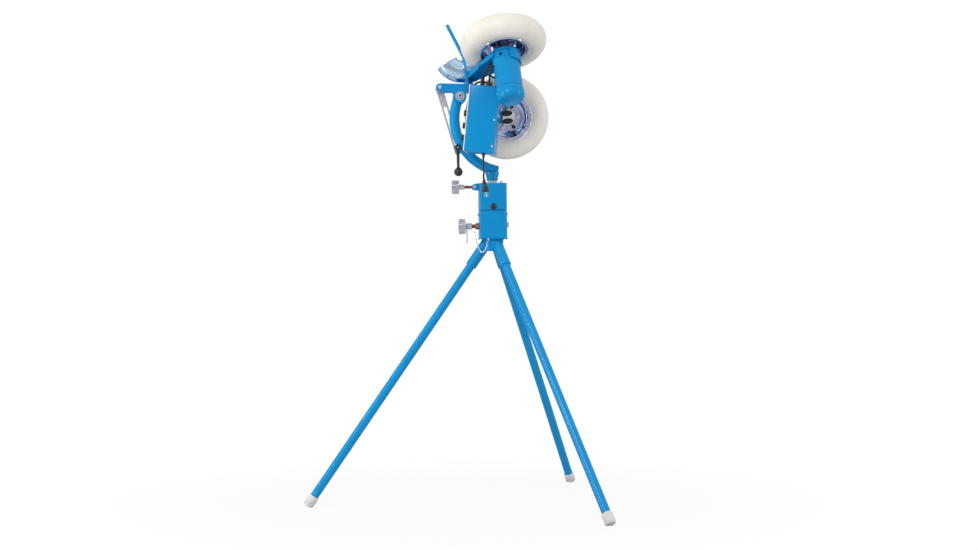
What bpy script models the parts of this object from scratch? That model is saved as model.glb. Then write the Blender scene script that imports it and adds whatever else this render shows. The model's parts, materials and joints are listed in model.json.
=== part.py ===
"""A two-wheel baseball pitching machine on a tripod.

Origin: on the floor, in the middle of the machine's box. +X is the way the ball leaves, +Z is up.
Sizes are in metres, and places are measured from the swivel axis until build() moves the machine.
The machine is, from the floor up: tripod, base box, swivel post, C-shaped yoke, tilting head.
"""

import math

import bmesh
import bpy
from mathutils import Matrix, Vector

# The swivel axis stands this far ahead of the middle of the machine's box.
AXIS_AHEAD = 0.172166
# Clearance between two pieces that touch.
GAP = 0.0003
# Radii of the holes for the pivot, for 8 mm pins and for 6 mm screws, and of those fasteners.
PIVOT_BORE = 0.0063
PIVOT_RADIUS = 0.006
PIN_BORE = 0.0043
PIN_RADIUS = 0.004
SCREW_BORE = 0.0033
SCREW_RADIUS = 0.003

# Tripod.
LEG_TUBE = 0.03175
LEG_WALL = 0.002
LEG_REACH = 0.699
LEG_APEX = 1.0036
LEG_TURNS = {"rear": 180.0, "near": 300.0, "far": 60.0}
SOCKET_TUBE = 0.0405
SOCKET_END = 0.147
HUB_RADIUS = 0.039
HUB_LOW = 0.938
LEG_LENGTH = math.hypot(LEG_REACH, LEG_APEX)
LEG_TOP = 0.0835
LEG_SHORT = 0.022
FOOT_WIDTH = 0.040
FOOT_LENGTH = 0.043
FOOT_END = 0.006

# Base box and swivel post: one square tube size.
BOX_TUBE = 0.1016
BOX_CORNER = 0.010
BOX_WALL = 0.0045
BOX_LOW = 0.9835
BOX_TOP = 1.087
BOX_BOLT_HEIGHT = 1.036
LOCK_HEIGHT = 1.0305
LOCK_BORE = 0.0083
POST_LOW = 1.0895
POST_TOP = 1.188
PLUG_HEIGHT = 1.101
PLUG_BORE = 0.0085
SCREW_REACH = 0.0445
PAN_LOCK_HEIGHT = 1.1765
SHAFT_RADIUS = 0.018
BEARING_RADIUS = 0.026
FLANGE_RADIUS = 0.039
FLANGE_THICK = 0.009

# Yoke: a round tube bent to an arc that is concentric with the lower wheel.
YOKE_TUBE = 0.0381
YOKE_CENTRE = Vector((0.060, 0.0, 1.430))
YOKE_RADIUS = 0.198
YOKE_START = 156.0
YOKE_END = 259.0
NECK_TOP = 1.232

# Tilt pivot, crank and slotted link, in the plane y = 0.
PIVOT = Vector((-0.118, 0.0, 1.512))
CRANK_PIN = Vector((-0.192, 0.0, 1.5446))
CLAMP = Vector((-0.1278, 0.0, 1.3222))
CHEEK_IN = 0.0253
CHEEK_THICK = 0.006
BOSS_HALF = 0.025
LINK_IN = 0.0195
LINK_THICK = 0.005
LINK_WIDTH = 0.026
SLOT_WIDTH = 0.0115
SLOT_START = 0.075
SLOT_END = 0.243

# Head: the ball line passes through NIP, pitched up by BALL_PITCH.
BALL_PITCH = math.radians(5.0)
NIP = Vector((0.042, 0.0, 1.616))
WHEEL_OFFSET = 0.180
UPPER_TURN = math.radians(24.0)
LOWER_TURN = math.radians(-96.0)
TYRE_RADIUS = 0.157
TYRE_HALF = 0.0445
RIM_LIP = 0.089
RIM_HALF = 0.041
HUB_BORE = 0.008
ARM_IN = 0.050
ARM_THICK = 0.006
MOTOR_RADIUS = 0.049
MOTOR_END = 0.245
PLATE_FRONT = -0.137
PLATE_THICK = 0.008
PLATE_BACK = PLATE_FRONT - PLATE_THICK
PLATE_LOW = -0.076
CHEEK_FOOT = (PLATE_LOW + 0.004, -0.046)
ARM_ROOTS = (0.026, 0.074)
CHUTE_OUTER = 0.041
CHUTE_WALL = 0.002
CHUTE_BEND = 0.062
CHUTE_RISE = 0.003
CHUTE_TURN = 64.0
CHUTE_SPOUT = -0.100
CHUTE_SCREWS = ((-0.0475, 0.010), (-0.0475, -0.018))
HANDLE_TOP = Vector((-0.163, 0.0, 1.781))

# Control box: leans back to face the operator and is turned to one side.
CONTROL_CENTRE = Vector((-0.0361, -0.1133, 1.4132))
CONTROL_SIZE = Vector((0.107, 0.110, 0.242))
CONTROL_TURN = math.radians(-10.0)
CONTROL_LEAN = math.radians(6.5)
PANEL_THICK = 0.004
DIAL_RADIUS = 0.0125
DIAL_LENGTH = 0.016
DIAL_HEIGHTS = {"speed_dial_upper": 0.020, "speed_dial_lower": -0.026, "power_dial": -0.070}
GLANDS = (-0.030, 0.012)
GLAND_ACROSS = 0.010
GLAND_BORE = 0.0063
CORD_PLACE = (0.014, -0.020)
CORD_RADIUS = 0.004
CABLE_RADIUS = 0.0035

# The lower motor's cable, in the head: in front of the plate, under the spout, over the arm.
LOWER_CABLE = (
    (-0.092, -0.038, -0.046),
    (-0.117, 0.000, -0.053),
    (-0.119, 0.042, -0.034),
    (-0.119, 0.058, -0.003),
    (-0.118, 0.086, -0.014),
)

# Facets of a full turn.
COARSE = 14
MEDIUM = 20
FINE = 28

COLOURS = {
    "blue_paint": ((0.0, 0.235, 0.58), 0.28, 0.0),
    "white_rubber": ((0.74, 0.73, 0.70), 0.75, 0.0),
    "foot_rubber": ((0.80, 0.80, 0.82), 0.65, 0.0),
    "zinc": ((0.62, 0.63, 0.66), 0.35, 1.0),
    "polished_steel": ((0.78, 0.79, 0.82), 0.12, 1.0),
    "copper": ((0.55, 0.27, 0.17), 0.35, 1.0),
    "black_plastic": ((0.015, 0.015, 0.017), 0.45, 0.0),
    "cast_grey": ((0.42, 0.42, 0.45), 0.45, 0.6),
    "bronze": ((0.50, 0.36, 0.18), 0.4, 1.0),
}


def clear_scene():
    for obj in list(bpy.data.objects):
        bpy.data.objects.remove(obj, do_unlink=True)


def new_collection(name):
    collection = bpy.data.collections.new(name)
    bpy.context.scene.collection.children.link(collection)
    return collection


clear_scene()
PARTS = new_collection("pitching_machine")
CUTTERS = new_collection("cutters")
CUTTERS.hide_render = True


def make_material(name):
    colour, roughness, metallic = COLOURS[name]
    material = bpy.data.materials.new(name)
    material.use_nodes = True
    shader = material.node_tree.nodes["Principled BSDF"]
    shader.inputs["Base Color"].default_value = (*colour, 1.0)
    shader.inputs["Roughness"].default_value = roughness
    shader.inputs["Metallic"].default_value = metallic
    return material


MATERIALS = {name: make_material(name) for name in COLOURS}


# ---------------------------------------------------------------- frames


def frame(origin, z_axis, x_axis=(1.0, 0.0, 0.0)):
    """A world frame with its z along z_axis and its x as near x_axis as a right angle allows."""
    z = Vector(z_axis).normalized()
    y = z.cross(Vector(x_axis)).normalized()
    x = y.cross(z)
    turned = Matrix((x, y, z)).transposed().to_4x4()
    return Matrix.Translation(Vector(origin)) @ turned


def shift(x=0.0, y=0.0, z=0.0):
    return Matrix.Translation((x, y, z))


HEAD = Matrix.Translation(NIP) @ Matrix.Rotation(-BALL_PITCH, 4, "Y")
# Flat plates in the plane y = 0 are drawn in (x, z); this frame's z is world -Y.
SIDE = frame((0.0, 0.0, 0.0), (0.0, -1.0, 0.0))


def wheel_frame(turn):
    """z along the wheel's axis to its motor, y away from the ball line."""
    radial = Vector((0.0, -math.cos(turn), math.sin(turn)))
    axis = Vector((0.0, -math.sin(turn), -math.cos(turn)))
    return HEAD @ frame(radial * WHEEL_OFFSET, axis)


UPPER = wheel_frame(UPPER_TURN)
LOWER = wheel_frame(LOWER_TURN)
CONTROL = (
    Matrix.Translation(CONTROL_CENTRE)
    @ Matrix.Rotation(CONTROL_TURN, 4, "Z")
    @ Matrix.Rotation(CONTROL_LEAN, 4, "Y")
)


def joint(name, world, parent=None):
    """An empty on a joint's axis, which carries the pieces that move on it."""
    empty = bpy.data.objects.new(name, None)
    PARTS.objects.link(empty)
    empty.parent = parent
    empty.matrix_basis = world_of(parent).inverted() @ world
    return empty


def world_of(obj):
    if obj is None:
        return Matrix.Identity(4)
    return world_of(obj.parent) @ obj.matrix_basis


def put(obj, world, carrier):
    """Stands an object in a world frame, carried by a joint's empty."""
    obj.parent = carrier
    obj.matrix_basis = world_of(carrier).inverted() @ world
    return obj


# ---------------------------------------------------------------- shapes


def link_part(name, data, colour, collection=None):
    obj = bpy.data.objects.new(name, data)
    if colour:
        data.materials.append(MATERIALS[colour])
    (collection or PARTS).objects.link(obj)
    return obj


def shade(mesh, angle=35.0):
    mesh.shade_smooth()
    mesh.set_sharp_from_angle(angle=math.radians(angle))


def mesh_part(name, build, colour):
    """A part whose mesh is filled by build(bm)."""
    mesh = bpy.data.meshes.new(name)
    bm = bmesh.new()
    build(bm)
    bmesh.ops.recalc_face_normals(bm, faces=bm.faces)
    bm.to_mesh(mesh)
    bm.free()
    shade(mesh)
    return link_part(name, mesh, colour)


def rod(name, radius, low, high, colour, segments=COARSE, tip=None):
    """A solid rod along z from low to high; tip is the radius at its top end."""

    def build(bm):
        bmesh.ops.create_cone(
            bm,
            cap_ends=True,
            segments=segments,
            radius1=radius,
            radius2=radius if tip is None else tip,
            depth=high - low,
            matrix=shift(z=(low + high) / 2),
        )

    return mesh_part(name, build, colour)


def block(name, size, centre, colour, bevel=0.0, segments=2):
    """A box with its edges rounded by bevel."""

    def build(bm):
        bmesh.ops.create_cube(bm, matrix=Matrix.Translation(centre) @ Matrix.Diagonal((*size, 1.0)))

    obj = mesh_part(name, build, colour)
    if bevel:
        modifier = obj.modifiers.new("edges", "BEVEL")
        modifier.width = bevel
        modifier.segments = segments
    return obj


def turned(name, profile, colour, steps=MEDIUM, closed=True):
    """A turned shape: (radius, z) points that run down the outer side, spun about z."""
    mesh = bpy.data.meshes.new(name)
    bm = bmesh.new()
    points = [bm.verts.new((radius, 0.0, z)) for radius, z in profile]
    ends = points[1:] + points[:1] if closed else points[1:]
    for start, end in zip(points, ends):
        bm.edges.new((start, end))
    bm.to_mesh(mesh)
    bm.free()
    obj = link_part(name, mesh, colour)
    modifier = obj.modifiers.new("turn", "SCREW")
    modifier.steps = steps
    modifier.render_steps = steps
    modifier.use_merge_vertices = True
    modifier.merge_threshold = 0.0001
    modifier.use_smooth_shade = False
    return obj


def ring(name, outer, inner, low, high, colour, steps=MEDIUM):
    profile = [(outer, high), (outer, low), (inner, low), (inner, high)]
    return turned(name, profile, colour, steps)


def as_mesh(obj):
    """Replaces a curve by its evaluated mesh, with its caps welded on."""
    bpy.context.view_layer.update()
    graph = bpy.context.evaluated_depsgraph_get()
    mesh = bpy.data.meshes.new_from_object(obj.evaluated_get(graph))
    bm = bmesh.new()
    bm.from_mesh(mesh)
    bmesh.ops.remove_doubles(bm, verts=bm.verts, dist=1e-6)
    bm.to_mesh(mesh)
    bm.free()
    shade(mesh)
    name = obj.name
    place = obj.matrix_world.copy()
    bpy.data.objects.remove(obj, do_unlink=True)
    solid = bpy.data.objects.new(name, mesh)
    PARTS.objects.link(solid)
    solid.matrix_world = place
    return solid


def plate(name, outlines, low, high, colour):
    """A flat plate from low to high along z; the first outline is its edge, the rest are holes."""
    curve = bpy.data.curves.new(name, "CURVE")
    curve.dimensions = "2D"
    curve.fill_mode = "BOTH"
    curve.extrude = (high - low) / 2
    for outline in outlines:
        spline = curve.splines.new("POLY")
        spline.points.add(len(outline) - 1)
        for point, (x, y) in zip(spline.points, outline):
            point.co = (x, y, 0.0, 1.0)
        spline.use_cyclic_u = True
    obj = link_part(name, curve, colour)
    solid = as_mesh(obj)
    solid.data.transform(shift(z=(low + high) / 2))
    return solid


def tube(name, path, radius, colour, resolution=4, caps=True):
    """A round bar that follows a list of points."""
    curve = bpy.data.curves.new(name, "CURVE")
    curve.dimensions = "3D"
    curve.bevel_depth = radius
    curve.bevel_resolution = resolution
    curve.use_fill_caps = caps
    curve.twist_mode = "MINIMUM"
    spline = curve.splines.new("POLY")
    spline.points.add(len(path) - 1)
    for point, place in zip(spline.points, path):
        point.co = (*place, 1.0)
    return as_mesh(link_part(name, curve, colour))


def hide_tool(obj):
    """Takes a helper out of the parts, for a Boolean to use."""
    PARTS.objects.unlink(obj)
    CUTTERS.objects.link(obj)
    obj.hide_render = True
    obj.display_type = "WIRE"


def combine(obj, other, operation):
    modifier = obj.modifiers.new(operation.lower(), "BOOLEAN")
    modifier.operation = operation
    modifier.solver = "EXACT"
    modifier.object = other
    hide_tool(other)
    return obj


def cut(obj, tool):
    return combine(obj, tool, "DIFFERENCE")


def weld(obj, other):
    return combine(obj, other, "UNION")


def circle(centre, radius, count=COARSE):
    turns = (2 * math.pi * i / count for i in range(count))
    return [(centre[0] + radius * math.cos(t), centre[1] + radius * math.sin(t)) for t in turns]


def arc(centre, radius, start, end, count):
    """Points from one angle to another, in degrees, both ends included."""
    turns = (math.radians(start + (end - start) * i / count) for i in range(count + 1))
    return [(centre[0] + radius * math.cos(t), centre[1] + radius * math.sin(t)) for t in turns]


def wrap(circles, step=20.0):
    """The outline of a band stretched round circles (x, y, radius), given anticlockwise."""
    normals = []
    for (x0, y0, r0), (x1, y1, r1) in zip(circles, circles[1:] + circles[:1]):
        reach = math.hypot(x1 - x0, y1 - y0)
        lean = math.asin((r0 - r1) / reach)
        normals.append(math.atan2(y1 - y0, x1 - x0) - math.pi / 2 + lean)
    outline = []
    for index, (x, y, radius) in enumerate(circles):
        start = normals[index - 1]
        sweep = (normals[index] - start) % (2 * math.pi)
        if radius == 0.0:
            outline.append((x, y))
            continue
        count = max(1, math.ceil(math.degrees(sweep) / step))
        outline += arc((x, y), radius, math.degrees(start), math.degrees(start + sweep), count)
    return outline


def rounded_square(width, corner, step=30.0):
    inner = width / 2 - corner
    corners = [(inner, -inner), (inner, inner), (-inner, inner), (-inner, -inner)]
    return wrap([(x, y, corner) for x, y in corners], step)


def in_side(point):
    """The (x, z) of a world point, for a plate drawn in the SIDE frame."""
    return (point[0], point[2])


# ---------------------------------------------------------------- tripod


def leg_frame(turn):
    """z runs down the leg from the apex of the three legs."""
    t = math.radians(turn)
    foot = Vector((LEG_REACH * math.cos(t), LEG_REACH * math.sin(t), -LEG_APEX))
    return frame((0.0, 0.0, LEG_APEX), foot, (-math.sin(t), math.cos(t), 0.0))


def tripod_hub(base):
    hub = rod("tripod_hub", HUB_RADIUS, HUB_LOW, BOX_LOW - GAP, "blue_paint", FINE)
    put(hub, Matrix.Identity(4), base)
    places = [leg_frame(turn) for turn in LEG_TURNS.values()]
    for place in places:
        sleeve = rod("sleeve", SOCKET_TUBE / 2, 0.020, SOCKET_END, None, MEDIUM)
        weld(hub, put(sleeve, place, base))
    for place in places:
        bore = rod("bore", LEG_TUBE / 2 + GAP, LEG_TOP - 0.0005, SOCKET_END + 0.02, None, MEDIUM)
        cut(hub, put(bore, place, base))
    top = block("hub_top", (0.2, 0.2, 0.1), (0.0, 0.0, BOX_LOW - GAP + 0.05), None)
    return cut(hub, put(top, Matrix.Identity(4), base))


def legs(base):
    outer = LEG_TUBE / 2
    for key, turn in LEG_TURNS.items():
        low = LEG_LENGTH - LEG_SHORT
        leg = ring(f"leg_{key}", outer, outer - LEG_WALL, -low, -LEG_TOP, "blue_paint")
        put(leg, leg_frame(turn) @ Matrix.Rotation(math.pi, 4, "X"), base)
        foot(f"foot_{key}", leg_frame(turn), base)


def foot(name, place, base):
    """A rubber tip: a cup on the end of the leg, cut flat where it stands on the floor."""
    top = -(LEG_LENGTH - FOOT_END - FOOT_LENGTH)
    seat = -(LEG_LENGTH - LEG_SHORT) - GAP
    low = -(LEG_LENGTH - FOOT_END)
    bore = LEG_TUBE / 2 + GAP
    half = FOOT_WIDTH / 2
    profile = [(half - 0.002, top), (half, top - 0.012), (half, low + 0.003), (half - 0.003, low)]
    profile += [(0.0, low)]
    profile += [(0.0, seat), (bore, seat), (bore, top)]
    tip = turned(name, profile, "foot_rubber", closed=False)
    close_profile(tip)
    put(tip, place @ Matrix.Rotation(math.pi, 4, "X"), base)
    floor = block("floor", (2.0, 2.0, 0.2), (0.0, 0.0, -0.1), None)
    return cut(tip, put(floor, Matrix.Identity(4), base))


def close_profile(obj):
    """Joins the last point of a turned profile to its first."""
    mesh = obj.data
    bm = bmesh.new()
    bm.from_mesh(mesh)
    bm.verts.ensure_lookup_table()
    bm.edges.new((bm.verts[len(bm.verts) - 1], bm.verts[0]))
    bm.to_mesh(mesh)
    bm.free()


# ---------------------------------------------------------------- base box and its lock


def base_box(base):
    outer = rounded_square(BOX_TUBE, BOX_CORNER)
    inner = rounded_square(BOX_TUBE - 2 * BOX_WALL, BOX_CORNER - BOX_WALL)
    box = plate("base_box", [outer, inner], BOX_LOW, BOX_TOP, "blue_paint")
    put(box, Matrix.Identity(4), base)
    sheet = plate("floor_sheet", [outer], BOX_LOW, BOX_LOW + 0.006, None)
    weld(box, put(sheet, Matrix.Identity(4), base))
    side = frame((0.0, 0.0, BOX_BOLT_HEIGHT), (1.0, 0.0, 0.0), (0.0, 1.0, 0.0))
    hole = rod("bolt_hole", 0.0053, BOX_TUBE / 2 - 0.02, BOX_TUBE / 2 + 0.02, None)
    cut(box, put(hole, side, base))
    screw_hole = rod("screw_hole", LOCK_BORE + 0.0002, -BOX_TUBE / 2 - 0.02, -BOX_TUBE / 2 + 0.02, None)
    lock = frame((0.0, 0.0, LOCK_HEIGHT), (1.0, 0.0, 0.0), (0.0, 1.0, 0.0))
    return cut(box, put(screw_hole, lock, base))


def hex_bolt(name, across, head, shank, length, colour="zinc"):
    """A hex-headed bolt: its head stands from z = 0 up, its shank hangs below."""
    corner = across / math.sqrt(3)
    bolt = rod(name, corner, 0.0, head, colour, 6)
    stem = rod("stem", shank, -length, head / 2, None, 12)
    stem.parent = bolt
    return weld(bolt, stem)


def bolt_at(name, place, carrier, across=0.013, head=0.0055, shank=0.004, length=0.02):
    """Puts a bolt and the stem that is welded to it."""
    bolt = hex_bolt(name, across, head, shank, length)
    return put(bolt, place, carrier)


def side_bolt(base):
    place = frame((BOX_TUBE / 2 + GAP, 0.0, BOX_BOLT_HEIGHT), (1.0, 0.0, 0.0), (0.0, 1.0, 0.0))
    return bolt_at("cross_bolt", place, base, 0.017, 0.0085, 0.005, 0.009)


def along_x(height):
    """z runs out from the swivel axis to the rear, at a height."""
    return frame((0.0, 0.0, height), (-1.0, 0.0, 0.0), (0.0, 1.0, 0.0))


def base_lock(base, lock):
    """The clamping screw of the base: a welded boss, a screw and its fluted knob."""
    place = along_x(LOCK_HEIGHT)
    face = BOX_TUBE / 2 + GAP
    boss = ring("lock_boss", 0.0125, LOCK_BORE, face, face + 0.013, "blue_paint", COARSE)
    put(boss, place, base)
    screw = rod("lock_screw", 0.008, 0.040, 0.106, "copper")
    put(screw, place, lock)
    knob = fluted_knob("lock_knob", 0.0285, 0.1015, 0.1265)
    put(knob, place, lock)
    bore = rod("knob_bore", 0.0084, 0.09, 0.1063, None)
    cut(knob, put(bore, place, lock))


def fluted_knob(name, radius, low, high):
    """A round knob with grooves round its rim."""
    grooves = 14
    outline = []
    for index in range(grooves):
        turn = 360.0 * index / grooves
        low_turn = turn + 240.0 / grooves
        outline += arc((0.0, 0.0), radius, turn, turn + 200.0 / grooves, 2)
        outline += arc((0.0, 0.0), radius - 0.0022, low_turn, low_turn + 80.0 / grooves, 1)
    return plate(name, [outline], low, high, "cast_grey")


def safety_pin(base):
    """A loose steel pin that hangs from the lock screw by its ring, on a chain to the base."""
    place = Matrix.Translation((-0.0965, 0.0, LOCK_HEIGHT))
    loop = [(0.0, 0.0115 * math.sin(t), 0.0115 * math.cos(t)) for t in half_turns(-150, 150, 12)]
    low = 0.064
    path = loop + [(0.0, 0.0, -0.022), (0.0, 0.0, -low)]
    pin = tube("safety_pin", path, 0.0023, "zinc", 2)
    return put(pin, place, base)


def half_turns(start, end, count):
    return [math.radians(start + (end - start) * i / count) for i in range(count + 1)]


def pin_chain(base):
    """A fine chain that hangs from the lock boss to an eye under the box."""
    start = Vector((-0.0705, -0.0165, 1.012))
    end = Vector((-0.0215, -0.0535, 0.976))
    sag = 0.060
    steps = 14
    path = []
    for i in range(steps + 1):
        t = i / steps
        drop = 4 * sag * t * (1 - t)
        bulge = -0.012 * math.sin(math.pi * t)
        path.append(start.lerp(end, t) + Vector((0.0, bulge, -drop)))
    chain = tube("pin_chain", path, 0.0012, "zinc", 1)
    return put(chain, Matrix.Identity(4), base)


# ---------------------------------------------------------------- swivel post


def post_case(base):
    """A square case with a bearing tube down its middle, which also stands in the base box."""
    outer = rounded_square(BOX_TUBE, BOX_CORNER)
    inner = rounded_square(BOX_TUBE - 2 * BOX_WALL, BOX_CORNER - BOX_WALL)
    case = plate("post_case", [outer, inner], POST_LOW, POST_TOP, "blue_paint")
    put(case, Matrix.Identity(4), base)
    cap = plate("cap", [outer], POST_TOP - 0.008, POST_TOP, None)
    weld(case, put(cap, Matrix.Identity(4), base))
    inset = rounded_square(BOX_TUBE - 0.012, 0.006)
    shoulder = plate("shoulder", [inset], POST_LOW, POST_LOW + 0.008, None)
    weld(case, put(shoulder, Matrix.Identity(4), base))
    spigot = rod("spigot", 0.040, BOX_LOW + 0.0065, POST_TOP - 0.004, None, FINE)
    weld(case, put(spigot, Matrix.Identity(4), base))
    bore = rod("bearing_bore", BEARING_RADIUS, BOX_LOW - 0.02, POST_TOP + 0.02, None, MEDIUM)
    cut(case, put(bore, Matrix.Identity(4), base))
    vent = rod("plug_hole", PLUG_BORE, BOX_TUBE / 2 - 0.02, BOX_TUBE / 2 + 0.02, None)
    cut(case, put(vent, near_face(PLUG_HEIGHT), base))
    for x, y in corner_places():
        hole = rod("corner_hole", SCREW_BORE, POST_TOP - 0.03, POST_TOP + 0.01, None, 12)
        cut(case, put(hole, shift(x, y), base))
    return case


def near_face(height):
    """z runs out to the near side, -Y, at a height on the swivel axis."""
    return frame((0.0, 0.0, height), (0.0, -1.0, 0.0))


def corner_places():
    signs = ((-1, -1), (1, -1), (-1, 1), (1, 1))
    return [(SCREW_REACH * x, SCREW_REACH * y) for x, y in signs]


def post_fittings(base):
    plug_face = BOX_TUBE / 2 + GAP
    profile = [(0.0, plug_face + 0.0055), (0.0045, plug_face + 0.005), (0.008, plug_face + 0.0035)]
    profile += [(0.0115, plug_face + 0.0015), (0.0115, plug_face), (0.0082, plug_face)]
    profile += [(0.0082, plug_face - 0.014), (0.0, plug_face - 0.014)]
    plug = turned("post_plug", profile, "black_plastic", COARSE, closed=False)
    put(plug, near_face(PLUG_HEIGHT), base)
    for name, (x, y) in zip(("rear_near", "front_near", "rear_far", "front_far"), corner_places()):
        place = shift(x, y, POST_TOP + GAP)
        bolt_at(f"screw_{name}", place, base, 0.010, 0.006, SCREW_RADIUS, 0.012)
    for name, low in (("bush_lower", BOX_LOW + 0.008), ("bush_upper", POST_TOP - 0.030)):
        bush = ring(name, BEARING_RADIUS - 2 * GAP, SHAFT_RADIUS + GAP, low, low + 0.028, "bronze")
        put(bush, Matrix.Identity(4), base)
    low = POST_TOP + GAP
    high = low + FLANGE_THICK
    flange = ring("bearing_flange", FLANGE_RADIUS, SHAFT_RADIUS + 0.0007, low, high, "zinc", FINE)
    put(flange, Matrix.Identity(4), base)


def pan_lock(base, knob_joint):
    """The swivel lock: a clevis on the post, an eye screw pinned in it, and a knob."""
    place = along_x(PAN_LOCK_HEIGHT)
    face = BOX_TUBE / 2 + GAP
    pin_reach = face + 0.0145
    clevis = plate("adjuster_clevis", [clevis_outline(face, pin_reach)], -0.012, 0.012, "blue_paint")
    sideways = frame((0.0, 0.0, PAN_LOCK_HEIGHT), (0.0, -1.0, 0.0))
    put(clevis, sideways, base)
    gap = block("clevis_gap", (0.04, 0.03, 0.0126), (-(face + 0.0045 + 0.02), 0.0, 0.0), None)
    cut(clevis, put(gap, sideways, base))
    pin_place = sideways @ shift(x=-pin_reach)
    hole = rod("pin_hole", PIN_BORE, -0.03, 0.03, None, 12)
    cut(clevis, put(hole, pin_place, base))
    bolt = rod("adjuster_bolt", PIN_RADIUS, -0.0125, 0.0125, "zinc", 12)
    put(bolt, pin_place, base)
    head = rod("pin_head", 0.0062, 0.0123, 0.0165, None, 6)
    weld(bolt, put(head, pin_place, base))
    screw = rod("adjuster_screw", 0.006, pin_reach + 0.006, 0.135, "copper", COARSE)
    put(screw, place, base)
    eye = rod("eye", 0.0095, -0.006, 0.006, None, COARSE)
    weld(screw, put(eye, pin_place, base))
    eye_hole = rod("eye_hole", PIN_BORE, -0.03, 0.03, None, 12)
    cut(screw, put(eye_hole, pin_place, base))
    knob = fluted_knob("adjuster_knob", 0.0255, 0.124, 0.150)
    put(knob, place, knob_joint)
    collar = rod("collar", 0.0095, 0.104, 0.130, None)
    weld(knob, put(collar, place, knob_joint))
    bore = rod("knob_bore", 0.0064, 0.09, 0.1353, None)
    cut(knob, put(bore, place, knob_joint))


def clevis_outline(face, pin_reach):
    lug = 0.0135
    foot = [(-face, -lug, 0.0), (-face, lug, 0.0)]
    return wrap(foot + [(-pin_reach, 0.0, lug * 0.85)])


# ---------------------------------------------------------------- yoke


def yoke_point(turn):
    t = math.radians(turn)
    return YOKE_CENTRE + Vector((math.cos(t), 0.0, math.sin(t))) * YOKE_RADIUS


def yoke_arm(pan):
    steps = 16
    path = [yoke_point(YOKE_START + (YOKE_END - YOKE_START) * i / steps) for i in range(steps + 1)]
    arm = tube("yoke_arm", path, YOKE_TUBE / 2, "blue_paint", 5)
    put(arm, Matrix.Identity(4), pan)
    boss = rod("pivot_boss", 0.025, -BOSS_HALF + GAP, BOSS_HALF - GAP, None, MEDIUM)
    weld(arm, put(boss, across(PIVOT), pan))
    clamp_boss = rod("clamp_boss", 0.013, -0.0193, 0.0190, None, COARSE)
    weld(arm, put(clamp_boss, across(CLAMP), pan))
    neck_low = POST_TOP + GAP + FLANGE_THICK + GAP
    neck = rod("neck", SHAFT_RADIUS + 0.002, neck_low, NECK_TOP, None, MEDIUM, SHAFT_RADIUS + 0.008)
    weld(arm, put(neck, Matrix.Identity(4), pan))
    for name, centre, radius in (("pivot_bore", PIVOT, PIVOT_BORE), ("clamp_bore", CLAMP, PIN_BORE)):
        bore = rod(name, radius, -0.05, 0.05, None)
        cut(arm, put(bore, across(centre), pan))
    socket = rod("shaft_socket", SHAFT_RADIUS + GAP, neck_low - 0.01, neck_low + 0.014, None, MEDIUM)
    return cut(arm, put(socket, Matrix.Identity(4), pan))


def across(point):
    """z runs to the near side, -Y, through a point of the plane y = 0."""
    return frame((point[0], 0.0, point[2]), (0.0, -1.0, 0.0))


def swivel_shaft(pan):
    top = POST_TOP + 2 * GAP + FLANGE_THICK + 0.0137
    shaft = rod("swivel_shaft", SHAFT_RADIUS, BOX_LOW + 0.007, top, "zinc", MEDIUM)
    return put(shaft, Matrix.Identity(4), pan)


def clamp(pan, lever_joint):
    """The tilt clamp: a bolt through the yoke's boss and the link's slot, and its ball lever."""
    place = across(CLAMP)
    far = -(LINK_IN + LINK_THICK)
    bolt = rod("clamp_bolt", PIN_RADIUS, far - 0.006, 0.0315, "zinc", COARSE)
    put(bolt, place, pan)
    washer = rod("clamp_washer", 0.0105, far - 0.008, far - GAP * 2, None, COARSE)
    weld(bolt, put(washer, place, pan))
    lever = rod("clamp_lever", 0.0115, 0.0197, 0.040, "black_plastic", COARSE)
    put(lever, place, lever_joint)
    top = Vector((CLAMP[0], -0.030, CLAMP[2]))
    ball_centre = top + Vector((0.001, 0.0, -0.091))
    handle = tube("lever_rod", [top, ball_centre + Vector((0.0, 0.0, 0.006))], 0.0048, None, 3)
    weld(lever, put(handle, Matrix.Identity(4), lever_joint))
    ball = ball_shape("lever_ball", 0.016)
    weld(lever, put(ball, Matrix.Translation(ball_centre), lever_joint))
    hole = rod("lever_hole", PIN_BORE, 0.0, 0.0318, None)
    return cut(lever, put(hole, place, lever_joint))


def ball_shape(name, radius):
    def build(bm):
        bmesh.ops.create_uvsphere(bm, u_segments=14, v_segments=8, radius=radius)

    return mesh_part(name, build, None)


# ---------------------------------------------------------------- tilting head


def side_of_head(x, z):
    """The (x, z) in the world of a point of the head's middle plane."""
    point = HEAD @ Vector((x, 0.0, z))
    return (point[0], point[2])


def tilt_bracket(tilt):
    """Two cheeks on the pivot, which also reach back as the crank of the slotted link."""
    holes = [circle(in_side(PIVOT), PIVOT_BORE), circle(in_side(CRANK_PIN), PIN_BORE, 12)]
    outline = bell_crank()
    cheek = plate("tilt_bracket", [outline] + holes, CHEEK_IN, CHEEK_IN + CHEEK_THICK, "blue_paint")
    put(cheek, SIDE, tilt)
    far = plate("far_cheek", [outline] + holes, -CHEEK_IN - CHEEK_THICK, -CHEEK_IN, None)
    weld(cheek, put(far, SIDE, tilt))
    reach = CHEEK_IN + 0.003
    web = plate("web", [web_outline()], -reach, reach, None)
    return weld(cheek, put(web, SIDE, tilt))


def bell_crank():
    """A cheek's outline: a lobe on the pivot, a foot on the head plate and the crank arm."""
    lobe = 0.0255
    end = 0.0145
    low, top = (side_of_head(PLATE_BACK - GAP, z) for z in CHEEK_FOOT)
    pivot, crank = in_side(PIVOT), in_side(CRANK_PIN)
    arm = arc(crank, end, 90.0, 270.0, 8)
    inner = (pivot[0] - lobe - 0.0007, crank[1] - end)
    return [low, top, (top[0] - 0.018, top[1])] + arm + [inner] + arc(pivot, lobe, 150.0, 340.0, 12)


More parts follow.
